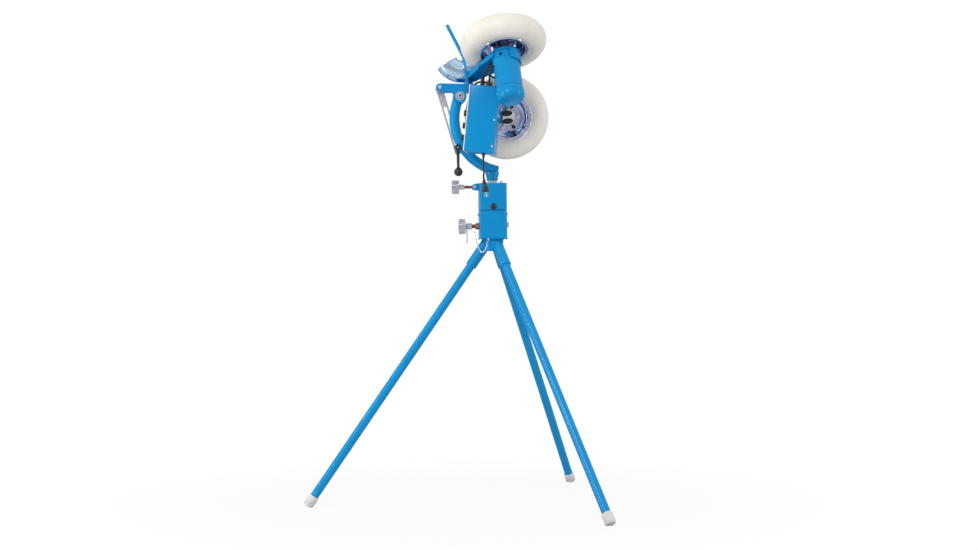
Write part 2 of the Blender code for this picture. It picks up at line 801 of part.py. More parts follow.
def web_outline():
    """The cross piece between the cheeks, against the head plate."""
    back, thick, tall = PLATE_BACK - GAP, 0.006, 0.012
    top = CHEEK_FOOT[1]
    corners = ((back, top - tall), (back, top), (back - thick, top), (back - thick, top - tall))
    return [side_of_head(x, z) for x, z in corners]


def pivot_fittings(tilt):
    place = across(PIVOT)
    reach = CHEEK_IN + CHEEK_THICK + GAP
    bolt = rod("pivot_bolt", PIVOT_RADIUS, -reach - 0.0004, reach + 0.010, "zinc", COARSE)
    put(bolt, place, tilt)
    head = rod("pivot_head", 0.011, -reach - 0.0075, -reach, None, 6)
    weld(bolt, put(head, place, tilt))
    faces = [circle((0.0, 0.0), 0.011, 6), circle((0.0, 0.0), PIVOT_BORE)]
    nut = plate("pivot_nut", faces, reach, reach + 0.007, "zinc")
    put(nut, place, tilt)
    pin = rod("link_pin", PIN_RADIUS, -reach - 0.0004, reach + 0.0004, "zinc", 12)
    put(pin, across(CRANK_PIN), tilt)
    for name, low in (("near_head", reach), ("far_head", -reach - 0.004)):
        cap = rod(name, 0.0075, low, low + 0.004, None, 12)
        weld(pin, put(cap, across(CRANK_PIN), tilt))


def tilt_link(link):
    """A flat bar with a long slot that slides on the clamp bolt."""
    toward = (CLAMP - CRANK_PIN).normalized()
    place = frame(CRANK_PIN, (0.0, -1.0, 0.0), toward)
    half = LINK_WIDTH / 2
    corner = half * 0.6
    end = SLOT_END + 0.011 - corner
    bar = wrap([(0.0, 0.0, half), (end, corner - half, corner), (end, half - corner, corner)])
    slot_half = SLOT_WIDTH / 2
    slot = wrap([(SLOT_START, 0.0, slot_half), (SLOT_END - slot_half, 0.0, slot_half)], 30.0)
    hole = circle((0.0, 0.0), PIN_BORE, 12)
    link_bar = plate("tilt_link", [bar, slot, hole], -LINK_IN - LINK_THICK, -LINK_IN, "zinc")
    return put(link_bar, place, link)


def head_plane(x=0.0):
    """Drawn in the plane square to the ball line: local x is world Y, local y is the head's up."""
    turned_plane = Matrix(((0, 0, 1), (1, 0, 0), (0, 1, 0))).to_4x4()
    return HEAD @ shift(x=x) @ turned_plane


def arm_root(side):
    """The (y, z) in the head of the two corners where a motor arm meets the head plate."""
    frame_in_head = HEAD.inverted() @ side
    corners = [frame_in_head @ Vector((PLATE_FRONT, s - WHEEL_OFFSET, ARM_IN)) for s in ARM_ROOTS]
    return [(corner[1], corner[2]) for corner in corners]


def face_plate(tilt):
    near = arm_root(UPPER)
    far = arm_root(LOWER)
    rim = 0.012
    circles = [
        (far[1][0], far[1][1] + 0.004, rim),
        (far[0][0] + 0.002, 0.0, rim),
        (0.026, 0.036, 0.018),
        (-0.026, 0.036, 0.018),
        (near[1][0] + 0.004, near[1][1] + 0.012, rim),
        (near[1][0] + 0.010, near[1][1] - 0.032, rim),
        (-0.030, PLATE_LOW + rim, rim),
    ]
    hole = circle((0.0, CHUTE_RISE), CHUTE_OUTER + 0.0006, FINE)
    screw_holes = [circle(place, SCREW_BORE, 12) for place in CHUTE_SCREWS]
    sheet = plate("face_plate", [wrap(circles), hole] + screw_holes, 0.0, PLATE_THICK, "blue_paint")
    return put(sheet, head_plane(PLATE_BACK), tilt)


def chute(tilt):
    """A polished elbow: the ball drops in at the top and leaves along the ball line."""
    centre = Vector((PLATE_BACK - 0.002, 0.0, CHUTE_RISE + CHUTE_BEND))
    path = [Vector((CHUTE_SPOUT, 0.0, CHUTE_RISE))]
    for i in range(9):
        t = math.radians(CHUTE_TURN * i / 8)
        path.append(centre + Vector((-math.sin(t), 0.0, -math.cos(t))) * CHUTE_BEND)
    elbow = tube("ball_chute", path, CHUTE_OUTER, "polished_steel", 6, caps=False)
    shell = elbow.modifiers.new("wall", "SOLIDIFY")
    shell.thickness = CHUTE_WALL
    shell.offset = -1.0
    return put(elbow, HEAD, tilt)


def chute_tabs(tilt):
    """Screws that hold the chute's flange on the head plate."""
    for name, (y, z) in zip(("upper", "lower"), CHUTE_SCREWS):
        place = head_plane(PLATE_BACK - GAP) @ shift(y, z) @ Matrix.Rotation(math.pi, 4, "X")
        bolt_at(f"chute_screw_{name}", place, tilt, 0.010, 0.005, SCREW_RADIUS, 0.008)


def handle(tilt):
    """The round bar that the operator swings the head by."""
    foot_point = HEAD @ Vector((PLATE_BACK + 0.004, 0.0, 0.0611))
    bar = tube("handle_bar", [foot_point, HANDLE_TOP], 0.0063, "blue_paint", 4)
    return put(bar, Matrix.Identity(4), tilt)


# ---------------------------------------------------------------- wheels and motors


def tangent_strip(start, end, thick):
    """A thin strip outside the line from start to end, for a flange."""
    run = (Vector(end) - Vector(start)).normalized()
    out = Vector((run[1], -run[0])) * thick
    return [start, end, tuple(Vector(end) - out), tuple(Vector(start) - out)]


def motor_arm(name, place, tilt):
    """A channel from the head plate to the motor's mounting face, with turned-up edges."""
    root = PLATE_FRONT + GAP
    near_edge = (root, ARM_ROOTS[0] - WHEEL_OFFSET, 0.0)
    far_edge = (root, ARM_ROOTS[1] - WHEEL_OFFSET, 0.0)
    pad = 0.0545
    outline = wrap([near_edge, (0.0, 0.0, pad), far_edge])
    hole = circle((0.0, 0.0), 0.020, COARSE)
    arm = plate(name, [outline, hole], ARM_IN, ARM_IN + ARM_THICK, "blue_paint")
    put(arm, place, tilt)
    top = ARM_IN + 0.020
    for index in (0, 1):
        edges = flange_edges(outline)[index]
        strip = plate("flange", [tangent_strip(*edges, 0.004)], ARM_IN + 0.001, top, None)
        weld(arm, put(strip, place, tilt))
    cup = plate("cup", [cup_outline(pad)], ARM_IN + 0.001, ARM_IN + 0.045, None)
    weld(arm, put(cup, place, tilt))
    behind = block("behind", (0.1, 0.4, 0.4), (root - 0.05, 0.0, 0.0), None)
    cut(arm, put(behind, place, tilt))
    slope = block("slope", (0.2, 0.2, 0.1), (0.0, 0.0, 0.05), None)
    lean = place @ shift(0.0, 0.0, ARM_IN + 0.036) @ Matrix.Rotation(math.radians(-14.0), 4, "Y")
    return cut(arm, put(slope, lean, tilt))


def flange_edges(outline):
    """The two straight sides of an arm, each from the outline's first root corner and last."""
    return (outline[0], outline[1]), (outline[-2], outline[-1])


def cup_outline(pad):
    """An arc-shaped lip round the outer side of the motor."""
    return arc((0.0, 0.0), pad, -75.0, 75.0, 10) + arc((0.0, 0.0), pad - 0.004, 75.0, -75.0, 10)


def motor(name, place, tilt):
    """A round motor: body, seam and domed end, with a bore at its front for the shaft."""
    front = ARM_IN + ARM_THICK + GAP
    seam = MOTOR_END - 0.045
    profile = [(0.0, MOTOR_END), (0.030, MOTOR_END)]
    profile += [(0.042, MOTOR_END - 0.004), (MOTOR_RADIUS, MOTOR_END - 0.013)]
    profile += [(MOTOR_RADIUS + 0.001, MOTOR_END - 0.022), (MOTOR_RADIUS + 0.001, seam)]
    profile += [(MOTOR_RADIUS - 0.0015, seam - 0.001), (MOTOR_RADIUS - 0.0015, front)]
    profile += [(HUB_BORE + GAP, front)]
    profile += [(HUB_BORE + GAP, front + 0.050), (0.0, front + 0.050)]
    body = turned(name, profile, "blue_paint", FINE, closed=False)
    return put(body, place, tilt)


def motor_shaft(name, place, spin):
    shaft = rod(name, HUB_BORE, -0.026, ARM_IN + ARM_THICK + 0.045, "zinc")
    return put(shaft, place, spin)


def rim(name, place, spin):
    """A pressed steel wheel: two lips, a well, a dished disc and a long hub."""
    wall = 0.003
    seat, well, disc = 0.079, 0.070, 0.0665
    half = RIM_HALF
    profile = [(RIM_LIP, half), (RIM_LIP, half - wall), (seat, half - 0.005), (seat - 0.002, 0.016)]
    profile += [(well, 0.011), (well, -0.011), (seat - 0.002, -0.016), (seat, 0.005 - half)]
    profile += [(RIM_LIP, wall - half), (RIM_LIP, -half), (seat - 0.004, 0.002 - half)]
    profile += [(seat - 0.006, -0.018), (disc, -0.014), (0.050, -0.008), (0.024, -0.010)]
    profile += [(0.020, -0.022), (HUB_BORE + GAP, -0.022), (HUB_BORE + GAP, 0.046), (0.018, 0.046)]
    profile += [(0.020, -0.004), (0.050, -0.004), (disc, -0.008), (disc, 0.012)]
    profile += [(seat - 0.006, 0.018), (seat - 0.004, half - 0.002)]
    wheel = turned(name, profile, "polished_steel", FINE)
    return put(wheel, place, spin)


def tyre(name, place, spin):
    """A smooth pneumatic tyre that sits on the rim between its lips."""
    centre = TYRE_RADIUS - TYRE_HALF
    seat = 0.079 + GAP
    sweep = 108.0
    turns = half_turns(sweep, -sweep, 12)
    crown = [(centre + TYRE_HALF * math.cos(t), TYRE_HALF * math.sin(t)) for t in turns]
    bead = RIM_HALF - 0.0056
    profile = crown + [(0.0885, -bead - 0.0005), (seat, -bead), (seat, bead), (0.0885, bead + 0.0005)]
    body = turned(name, profile, "white_rubber", FINE)
    return put(body, place, spin)


def drive(side, place, tilt, spin):
    motor_arm(f"{side}_arm", place, tilt)
    motor(f"{side}_motor", place, tilt)
    motor_shaft(f"{side}_shaft", place, spin)
    rim(f"{side}_rim", place, spin)
    tyre(f"{side}_tyre", place, spin)


# ---------------------------------------------------------------- control box


def dial_frame(height):
    """z runs out of the panel to the operator."""
    local = frame((-CONTROL_SIZE.x / 2, 0.0, height), (-1.0, 0.0, 0.0), (0.0, -1.0, 0.0))
    return CONTROL @ local


def control_box(tilt):
    size = CONTROL_SIZE
    box = block("control_box", size, (0.0, 0.0, 0.0), "blue_paint", 0.004)
    put(box, CONTROL, tilt)
    wall = 0.003
    hollow = block("hollow", (size.x, size.y - 2 * wall, size.z - 2 * wall), (-wall, 0.0, 0.0), None)
    cut(box, put(hollow, CONTROL, tilt))
    panel_size = (PANEL_THICK, size.y, size.z)
    front = -size.x / 2 - GAP - PANEL_THICK / 2
    panel = block("control_panel", panel_size, (front, 0.0, 0.0), "zinc", 0.0008, 1)
    put(panel, CONTROL, tilt)
    for height in DIAL_HEIGHTS.values():
        hole = rod("dial_hole", 0.0035, -0.02, 0.02, None, 12)
        cut(panel, put(hole, dial_frame(height), tilt))
    for y in GLANDS:
        hole = rod("gland_hole", GLAND_BORE, size.z / 2 - 0.02, size.z / 2 + 0.02, None, 12)
        cut(box, put(hole, CONTROL @ shift(GLAND_ACROSS, y), tilt))
    outlet = rod("cord_hole", GLAND_BORE, -size.z / 2 - 0.02, -size.z / 2 + 0.02, None, 12)
    return cut(box, put(outlet, CONTROL @ shift(*CORD_PLACE), tilt))


def dial(name, carrier):
    """A knob with a fine grip and its spindle through the panel."""
    low = PANEL_THICK + 2 * GAP
    outline = []
    grips = 12
    for index in range(grips):
        turn = 360.0 * index / grips
        low_turn = turn + 240.0 / grips
        outline += arc((0.0, 0.0), DIAL_RADIUS, turn, turn + 180.0 / grips, 1)
        outline += arc((0.0, 0.0), DIAL_RADIUS - 0.001, low_turn, low_turn + 60.0 / grips, 1)
    knob = plate(name, [outline], low, low + DIAL_LENGTH, "black_plastic")
    place = dial_frame(DIAL_HEIGHTS[name])
    put(knob, place, carrier)
    spindle = rod("spindle", 0.003, -0.008, low + 0.004, None, 12)
    return weld(knob, put(spindle, place, carrier))


def box_bracket(tilt):
    """An angle that hangs the control box from the head plate."""
    top = CONTROL_SIZE.z / 2 + GAP
    size, centre = (0.064, 0.024, 0.004), (-0.0385, 0.034, top + 0.002)
    sheet = block("box_bracket", size, centre, "blue_paint")
    put(sheet, CONTROL, tilt)
    back = block("back", (0.006, 0.018, 0.040), (PLATE_FRONT + GAP + 0.003, -0.0705, -0.058), None)
    return weld(sheet, put(back, HEAD, tilt))


def cable_path(points, steps=5):
    """Points on a smooth line through the given points."""
    ends = [points[0]] + points + [points[-1]]
    path = []
    for a, b, c, d in zip(ends, ends[1:], ends[2:], ends[3:]):
        for i in range(steps):
            t = i / steps
            path.append(smooth(a, b, c, d, t))
    return path + [points[-1]]


def smooth(a, b, c, d, t):
    """A Catmull-Rom point between b and c."""
    return ((c - a) * t + (2 * a - 5 * b + 4 * c - d) * t**2 + (3 * b - a - 3 * c + d) * t**3) / 2 + b


def head_point(x, y, z):
    return HEAD @ Vector((x, y, z))


def control_point(x, y, z):
    return CONTROL @ Vector((x, y, z))


def motor_point(side, x, y, z):
    return side @ Vector((x, y, z))


def cables(tilt):
    """A cable from the box to each motor; each leaves the box through a gland."""
    top = CONTROL_SIZE.z / 2
    near = [control_point(GLAND_ACROSS, GLANDS[0], top + h) for h in (-0.010, 0.002, 0.030)]
    near += [motor_point(UPPER, -0.063, -0.012, ARM_IN + 0.062)]
    near += [motor_point(UPPER, -MOTOR_RADIUS - 0.0035, 0.0, ARM_IN + 0.040)]
    far = [control_point(GLAND_ACROSS, GLANDS[1], top + h) for h in (-0.010, 0.002, 0.014)]
    far += [head_point(x, y, z) for x, y, z in LOWER_CABLE]
    far += [motor_point(LOWER, -0.080, -0.050, ARM_IN + 0.060)]
    far += [motor_point(LOWER, -MOTOR_RADIUS - 0.0040, 0.0, ARM_IN + 0.070)]
    for side, points, y in (("upper", near, GLANDS[0]), ("lower", far, GLANDS[1])):
        line = tube(f"motor_cable_{side}", cable_path(points, 3), CABLE_RADIUS, "black_plastic", 2)
        put(line, Matrix.Identity(4), tilt)
        gland = rod("gland", 0.0105, top + GAP, top + 0.012, None, 12)
        weld(line, put(gland, CONTROL @ shift(GLAND_ACROSS, y), tilt))


def cord_start():
    return control_point(CORD_PLACE[0], CORD_PLACE[1], -CONTROL_SIZE.z / 2)


def power_cord(carrier):
    """The mains cord: it hangs from the bottom of the box and ends in a plug."""
    start = cord_start()
    drop = [start + Vector((0.0, 0.0, h)) for h in (-0.0005, -0.105)]
    line = tube("power_cord", drop, CORD_RADIUS, "black_plastic", 2)
    put(line, Matrix.Identity(4), carrier)
    plug_top = start.z - 0.100
    profile = [(0.0, 0.0), (0.0045, 0.0), (0.006, -0.018), (0.011, -0.026)]
    profile += [(0.012, -0.046), (0.0, -0.046)]
    body = turned("plug", profile, None, 12, closed=False)
    weld(line, put(body, Matrix.Translation((start.x, start.y, plug_top)), carrier))
    for x in (-0.006, 0.006):
        blade = block("blade", (0.0015, 0.006, 0.020), (x, 0.0, -0.054), None)
        weld(line, put(blade, Matrix.Translation((start.x, start.y, plug_top)), carrier))


# ---------------------------------------------------------------- the machine


def build():
    base = joint("base", Matrix.Identity(4))
    lock = joint("lock_screw_axis", along_x(LOCK_HEIGHT), base)
    pan_knob = joint("adjuster_axis", along_x(PAN_LOCK_HEIGHT), base)
    pan = joint("pan_axis", shift(z=POST_TOP), base)
    lever = joint("lever_axis", across(CLAMP), pan)
    tilt = joint("tilt_axis", across(PIVOT), pan)
    link = joint("link_axis", across(CRANK_PIN), tilt)
    upper_spin = joint("upper_wheel_axis", UPPER, tilt)
    lower_spin = joint("lower_wheel_axis", LOWER, tilt)
    cord = joint("cord_axis", across(cord_start()), tilt)
    tripod_hub(base)
    legs(base)
    base_box(base)
    side_bolt(base)
    base_lock(base, lock)
    safety_pin(base)
    pin_chain(base)
    post_case(base)
    post_fittings(base)
    pan_lock(base, pan_knob)
    yoke_arm(pan)
    swivel_shaft(pan)
    clamp(pan, lever)
    tilt_bracket(tilt)
    pivot_fittings(tilt)
    tilt_link(link)
    face_plate(tilt)
    chute(tilt)
    chute_tabs(tilt)
    handle(tilt)
    drive("upper", UPPER, tilt, upper_spin)
    drive("lower", LOWER, tilt, lower_spin)
    control_box(tilt)
    for name, height in DIAL_HEIGHTS.items():
        dial(name, joint(f"{name}_axis", dial_frame(height), tilt))
    box_bracket(tilt)
    cables(tilt)
    power_cord(cord)
    base.location.x = AXIS_AHEAD


build()
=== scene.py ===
"""Looks of the two-wheel pitching machine: finer pieces, materials, floor, light and camera."""

import json
import math

import bmesh
import bpy
import numpy as np
from mathutils import Matrix, Vector

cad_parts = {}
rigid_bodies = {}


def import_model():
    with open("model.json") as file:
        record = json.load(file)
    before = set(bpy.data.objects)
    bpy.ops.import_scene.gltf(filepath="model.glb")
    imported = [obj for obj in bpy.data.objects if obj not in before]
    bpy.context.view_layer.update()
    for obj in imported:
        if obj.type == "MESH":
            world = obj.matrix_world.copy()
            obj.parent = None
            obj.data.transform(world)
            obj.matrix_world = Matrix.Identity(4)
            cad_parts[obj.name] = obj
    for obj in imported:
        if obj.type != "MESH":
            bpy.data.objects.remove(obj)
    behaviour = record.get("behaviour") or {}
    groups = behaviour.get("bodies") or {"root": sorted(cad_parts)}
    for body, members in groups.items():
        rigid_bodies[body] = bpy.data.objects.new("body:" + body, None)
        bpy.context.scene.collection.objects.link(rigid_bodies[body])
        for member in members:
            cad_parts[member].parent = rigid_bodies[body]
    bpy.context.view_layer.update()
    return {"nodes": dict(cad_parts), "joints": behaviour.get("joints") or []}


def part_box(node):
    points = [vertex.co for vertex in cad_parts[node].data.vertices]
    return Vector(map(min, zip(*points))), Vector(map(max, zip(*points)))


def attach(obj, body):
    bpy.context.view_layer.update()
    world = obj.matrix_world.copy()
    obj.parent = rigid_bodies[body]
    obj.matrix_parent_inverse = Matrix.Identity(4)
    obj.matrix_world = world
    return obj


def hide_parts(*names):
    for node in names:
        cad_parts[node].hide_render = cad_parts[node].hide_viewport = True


for old in list(bpy.data.objects):
    bpy.data.objects.remove(old, do_unlink=True)
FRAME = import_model()
JOINTS = {joint["child"]: joint for joint in FRAME["joints"]}
AXIS = Vector(JOINTS["yoke"]["pos_m"])

# Sizes that the finer pieces share with the solids, in metres.
GAP = 0.0003
LEG_TUBE = 0.03175
LEG_WALL = 0.002
FOOT_WIDTH = 0.040
FOOT_RIBS = 4
SOCKET_RADIUS = 0.0203
RIVET_DEPTH = 0.048
HUB_WELD = 0.0395
CHAIN_START = Vector((AXIS.x - 0.0705, -0.0165, 1.012))
CHAIN_END = Vector((AXIS.x - 0.0215, -0.0535, 0.976))
CHAIN_BEADS = 46
BALL_PITCH = math.radians(5.0)
YOKE_TUBE = 0.0381
YOKE_CENTRE = Vector((AXIS.x + 0.060, 0.0, 1.430))
YOKE_RADIUS = 0.198
YOKE_SPAN = (156.0, 259.0)
NECK_TOP = 1.232
FLANGE_TOP = 0.0096
ARM_IN = 0.050
MOTOR_RADIUS = 0.049
MOTOR_END = 0.245
TYRE_RADIUS = 0.157
TYRE_HALF = 0.0445
RIM_LIP = 0.089
RIM_SEAT = 0.079
SHAFT_BORE = 0.0083
RIM_HALF = 0.041
NIP = Vector((AXIS.x + 0.042, 0.0, 1.616))
PLATE_BACK = -0.145
BOLT_CIRCLE = 0.0415
BOLT_HEAD = 0.0066
VENT_CIRCLE = 0.0430
VALVE_CIRCLE = 0.0600
VALVE_TURN = -70.0
HANDLE_RADIUS = 0.0063
HANDLE_DOME = 0.006
CHUTE_OUTER = 0.041
CHUTE_WALL = 0.002
CHUTE_BEND = 0.062
CHUTE_RISE = 0.003
CHUTE_TURN = 64.0
CHUTE_SPOUT = -0.100
CONTROL_CENTRE = Vector((AXIS.x - 0.0361, -0.1133, 1.4132))
CONTROL_SIZE = Vector((0.107, 0.110, 0.242))
CONTROL_TURN = math.radians(-10.0)
CONTROL_LEAN = math.radians(6.5)
PANEL_THICK = 0.004
GLANDS = (-0.030, 0.012)
GLAND_ACROSS = 0.010
TICK_CIRCLE = 0.0150
DIGIT_CIRCLE = 0.0207

CAMERA_PLACE = (AXIS.x - 0.379, -5.938, 0.82)
CAMERA_LOOK = (0.061, 0.998, 0.0049)
CAMERA_LEAN = 0.01134
CAMERA_LENS = 58.9

# Sides of a full turn on round pieces.
FINE = 128
ROUND = 48
SMALL = 24

# Degrees past which an edge stays sharp.
SHARP_ANGLE = 38.0
COAT_ROUGHNESS = 0.17


# ---------------------------------------------------------------- frames


def place_at(origin, z_axis, x_axis=(1.0, 0.0, 0.0)):
    """A frame with its z along z_axis and its x as near x_axis as a right angle allows."""
    z = Vector(z_axis).normalized()
    y = z.cross(Vector(x_axis)).normalized()
    x = y.cross(z)
    return Matrix.Translation(Vector(origin)) @ Matrix((x, y, z)).transposed().to_4x4()


def shift(x=0.0, y=0.0, z=0.0):
    return Matrix.Translation((x, y, z))


def joint_place(body, x_axis):
    """z runs along the joint that moves a body."""
    joint = JOINTS[body]
    return place_at(joint["pos_m"], joint["axis"], x_axis)


def rod_line(node):
    """The two ends of a straight round node's centre line, the upper end first."""
    points = np.array([v.co for v in FRAME["nodes"][node].data.vertices], float)
    middle = (points.min(0) + points.max(0)) / 2
    along = np.linalg.svd(np.unique(points.round(5), axis=0) - middle)[2][0]
    along = along * np.sign(along[2] or 1.0)
    reach = (points - middle) @ along
    return Vector(middle + along * reach.max()), Vector(middle + along * reach.min())


def middle_of(node):
    low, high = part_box(node)
    return (low + high) / 2


HEAD = Matrix.Translation(NIP) @ Matrix.Rotation(-BALL_PITCH, 4, "Y")
BALL_LINE = HEAD.to_3x3() @ Vector((1.0, 0.0, 0.0))
UPPER = joint_place("upper_wheel", BALL_LINE)
LOWER = joint_place("lower_wheel", BALL_LINE)
CONTROL = (
    Matrix.Translation(CONTROL_CENTRE)
    @ Matrix.Rotation(CONTROL_TURN, 4, "Z")
    @ Matrix.Rotation(CONTROL_LEAN, 4, "Y")
)
PIVOT = Vector(JOINTS["head"]["pos_m"])
CLAMP = Vector(JOINTS["clamp_lever_body"]["pos_m"])


# ---------------------------------------------------------------- materials


def add(tree, kind, inputs=None, **settings):
    """A shader node with its settings, and its inputs set or linked."""
    made = tree.nodes.new("ShaderNode" + kind)
    for key, value in settings.items():
        setattr(made, key, value)
    for key, value in (inputs or {}).items():
        if isinstance(value, bpy.types.NodeSocket):
            tree.links.new(value, made.inputs[key])
        else:
            made.inputs[key].default_value = value
    return made


def noise_of(tree, scale, detail=3.0, stretch=(1.0, 1.0, 1.0), roughness=0.5):
    """Noise in the object's own metres."""
    where = add(tree, "TexCoord").outputs["Object"]
    mapped = add(tree, "Mapping", {"Vector": where, "Scale": stretch}).outputs[0]
    inputs = {"Vector": mapped, "Scale": scale, "Detail": detail, "Roughness": roughness}
    return add(tree, "TexNoise", inputs).outputs["Fac"]


def ramp(tree, value, low, high, start, end):
    """Maps value from low..high to start..end, held at both ends."""
    inputs = {"Value": value, "From Min": low, "From Max": high, "To Min": start, "To Max": end}
    return add(tree, "MapRange", inputs).outputs["Result"]


def mix(tree, factor, one, two):
    made = add(tree, "Mix", {"Factor": factor}, data_type="RGBA")
    for socket, value in ((made.inputs[6], one), (made.inputs[7], two)):
        if isinstance(value, bpy.types.NodeSocket):
            tree.links.new(value, socket)
        else:
            socket.default_value = (*value, 1.0)
    return made.outputs[2]


def edges_of(tree, width):
    """1 near a sharp edge and 0 elsewhere."""
    rounded = add(tree, "Bevel", {"Radius": width}, samples=4).outputs[0]
    flat = add(tree, "NewGeometry").outputs["Normal"]
    same = add(tree, "VectorMath", {0: rounded, 1: flat}, operation="DOT_PRODUCT").outputs["Value"]
    return ramp(tree, same, 0.90, 0.985, 1.0, 0.0)


def finish_material(tree, main, colour, roughness, bumps, metallic=0.0, coat=0.0, specular=0.5):
    """Links a colour, a roughness and bumps (height, strength, distance) to the shader."""
    tree.links.new(colour, main.inputs["Base Color"])
    tree.links.new(roughness, main.inputs["Roughness"])
    main.inputs["Metallic"].default_value = metallic
    main.inputs["Coat Weight"].default_value = coat
    main.inputs["Coat Roughness"].default_value = COAT_ROUGHNESS
    main.inputs["Specular IOR Level"].default_value = specular
    normal = None
    for height, strength, distance in bumps:
        inputs = {"Height": height, "Strength": strength, "Distance": distance}
        if normal is not None:
            inputs["Normal"] = normal
        normal = add(tree, "Bump", inputs).outputs[0]
    tree.links.new(normal, main.inputs["Normal"])


def start_material(name):
    material = bpy.data.materials.new(name)
    material.use_nodes = True
    tree = material.node_tree
    return material, tree, tree.nodes["Principled BSDF"]


def blue_paint():
    """Glossy powder coat: orange peel, faint tone drift, thin rubbed edges."""
    material, tree, main = start_material("blue_paint")
    tone = ramp(tree, noise_of(tree, 7.0, 4.0), 0.3, 0.7, 0.0, 1.0)
    base = mix(tree, tone, (0.0, 0.248, 0.56), (0.0, 0.282, 0.63))
    specks = ramp(tree, noise_of(tree, 160.0, 5.0), 0.60, 0.72, 0.0, 1.0)
    edges = add(tree, "Math", {0: edges_of(tree, 0.0012), 1: specks}, operation="MULTIPLY").outputs[0]
    worn = mix(tree, edges, base, (0.12, 0.36, 0.55))
    smears = ramp(tree, noise_of(tree, 18.0, 2.0, (1.0, 1.0, 0.4)), 0.35, 0.7, 0.20, 0.30)
    peel = noise_of(tree, 150.0, 1.0)
    finish_material(tree, main, worn, smears, ((peel, 0.01, 0.0001),), coat=0.34, specular=0.06)
    return material


def white_rubber():
    """Off-white tyre rubber: fine grain, dusty patches and grey scuffs."""
    material, tree, main = start_material("white_rubber")
    dust = ramp(tree, noise_of(tree, 9.0, 6.0, roughness=0.6), 0.35, 0.7, 0.0, 1.0)
    clean = mix(tree, dust, (0.88, 0.83, 0.76), (0.80, 0.74, 0.65))
    scuff = ramp(tree, noise_of(tree, 60.0, 8.0, (1.0, 0.2, 1.0), 0.7), 0.60, 0.80, 0.0, 0.55)
    colour = mix(tree, scuff, clean, (0.50, 0.47, 0.42))
    roughness = ramp(tree, noise_of(tree, 25.0, 4.0), 0.3, 0.7, 0.42, 0.60)
    bumps = ((noise_of(tree, 900.0, 3.0), 0.25, 0.0003), (noise_of(tree, 45.0, 3.0), 0.12, 0.001))
    finish_material(tree, main, colour, roughness, bumps)
    return material


def foot_rubber():
    material, tree, main = start_material("foot_rubber")
    low = add(tree, "SeparateXYZ", {0: add(tree, "TexCoord").outputs["Object"]}).outputs[2]
    grime = ramp(tree, low, 0.0, 0.035, 0.55, 0.0)
    patches = ramp(tree, noise_of(tree, 70.0, 6.0), 0.35, 0.65, 0.0, 1.0)
    dirt = add(tree, "Math", {0: grime, 1: patches}, operation="MULTIPLY").outputs[0]
    colour = mix(tree, dirt, (0.70, 0.69, 0.70), (0.32, 0.30, 0.28))
    roughness = ramp(tree, patches, 0.0, 1.0, 0.5, 0.75)
    bumps = ((noise_of(tree, 800.0), 0.3, 0.0003),)
    finish_material(tree, main, colour, roughness, bumps)
    return material


def metal(name, light, dark, smooth, rough, bump=0.08):
    """A bare metal with tone patches, smudges and a fine grain."""
    material, tree, main = start_material(name)
    patch = ramp(tree, noise_of(tree, 90.0, 5.0), 0.35, 0.65, 0.0, 1.0)
    colour = mix(tree, patch, light, dark)
    smudge = ramp(tree, noise_of(tree, 27.0, 6.0), 0.3, 0.7, smooth, rough)
    bumps = ((noise_of(tree, 720.0, 3.0), bump, 0.0002),)
    finish_material(tree, main, colour, smudge, bumps, metallic=1.0)
    return material


def plastic(name, colour, lift, roughness):
    """A moulded plastic: fine spark grain, dust in its tone and gloss."""
    material, tree, main = start_material(name)
    dust = ramp(tree, noise_of(tree, 45.0, 6.0), 0.35, 0.75, 0.0, 1.0)
    tone = mix(tree, dust, colour, lift)
    gloss = ramp(tree, dust, 0.0, 1.0, roughness - 0.08, roughness + 0.1)
    finish_material(tree, main, tone, gloss, ((noise_of(tree, 1200.0, 2.0), 0.25, 0.0002),))
    return material


MATERIALS = {
    "blue_paint": blue_paint(),
    "white_rubber": white_rubber(),
    "foot_rubber": foot_rubber(),
    "zinc": metal("zinc", (0.78, 0.79, 0.82), (0.60, 0.61, 0.65), 0.22, 0.40),
    "polished_steel": metal("polished_steel", (0.88, 0.88, 0.93), (0.80, 0.80, 0.87), 0.05, 0.16, 0.008),
    # Polished chute steel whose base colour is tinted blue: a painted reflection of the blue paint round it.
    "chute_steel_painted_reflection": metal("chute_steel_painted_reflection", (0.60, 0.80, 0.95), (0.42, 0.66, 0.88), 0.07, 0.20, 0.008),
    "dish_steel": metal("dish_steel", (0.62, 0.64, 0.78), (0.50, 0.52, 0.68), 0.08, 0.22, 0.008),
    "copper": metal("copper", (0.62, 0.30, 0.20), (0.38, 0.17, 0.12), 0.28, 0.45),
    "black_plastic": plastic("black_plastic", (0.009, 0.009, 0.010), (0.024, 0.024, 0.027), 0.36),
    "cast_grey": metal("cast_grey", (0.66, 0.67, 0.72), (0.56, 0.57, 0.62), 0.30, 0.42, 0.06),
    "bronze": metal("bronze", (0.55, 0.38, 0.18), (0.42, 0.28, 0.13), 0.35, 0.5),
    "panel_white": plastic("panel_white", (0.78, 0.79, 0.80), (0.68, 0.69, 0.71), 0.34),
    "ink": plastic("ink", (0.02, 0.02, 0.022), (0.03, 0.03, 0.03), 0.5),
}


# ---------------------------------------------------------------- shapes


def link(made):
    bpy.context.scene.collection.objects.link(made)


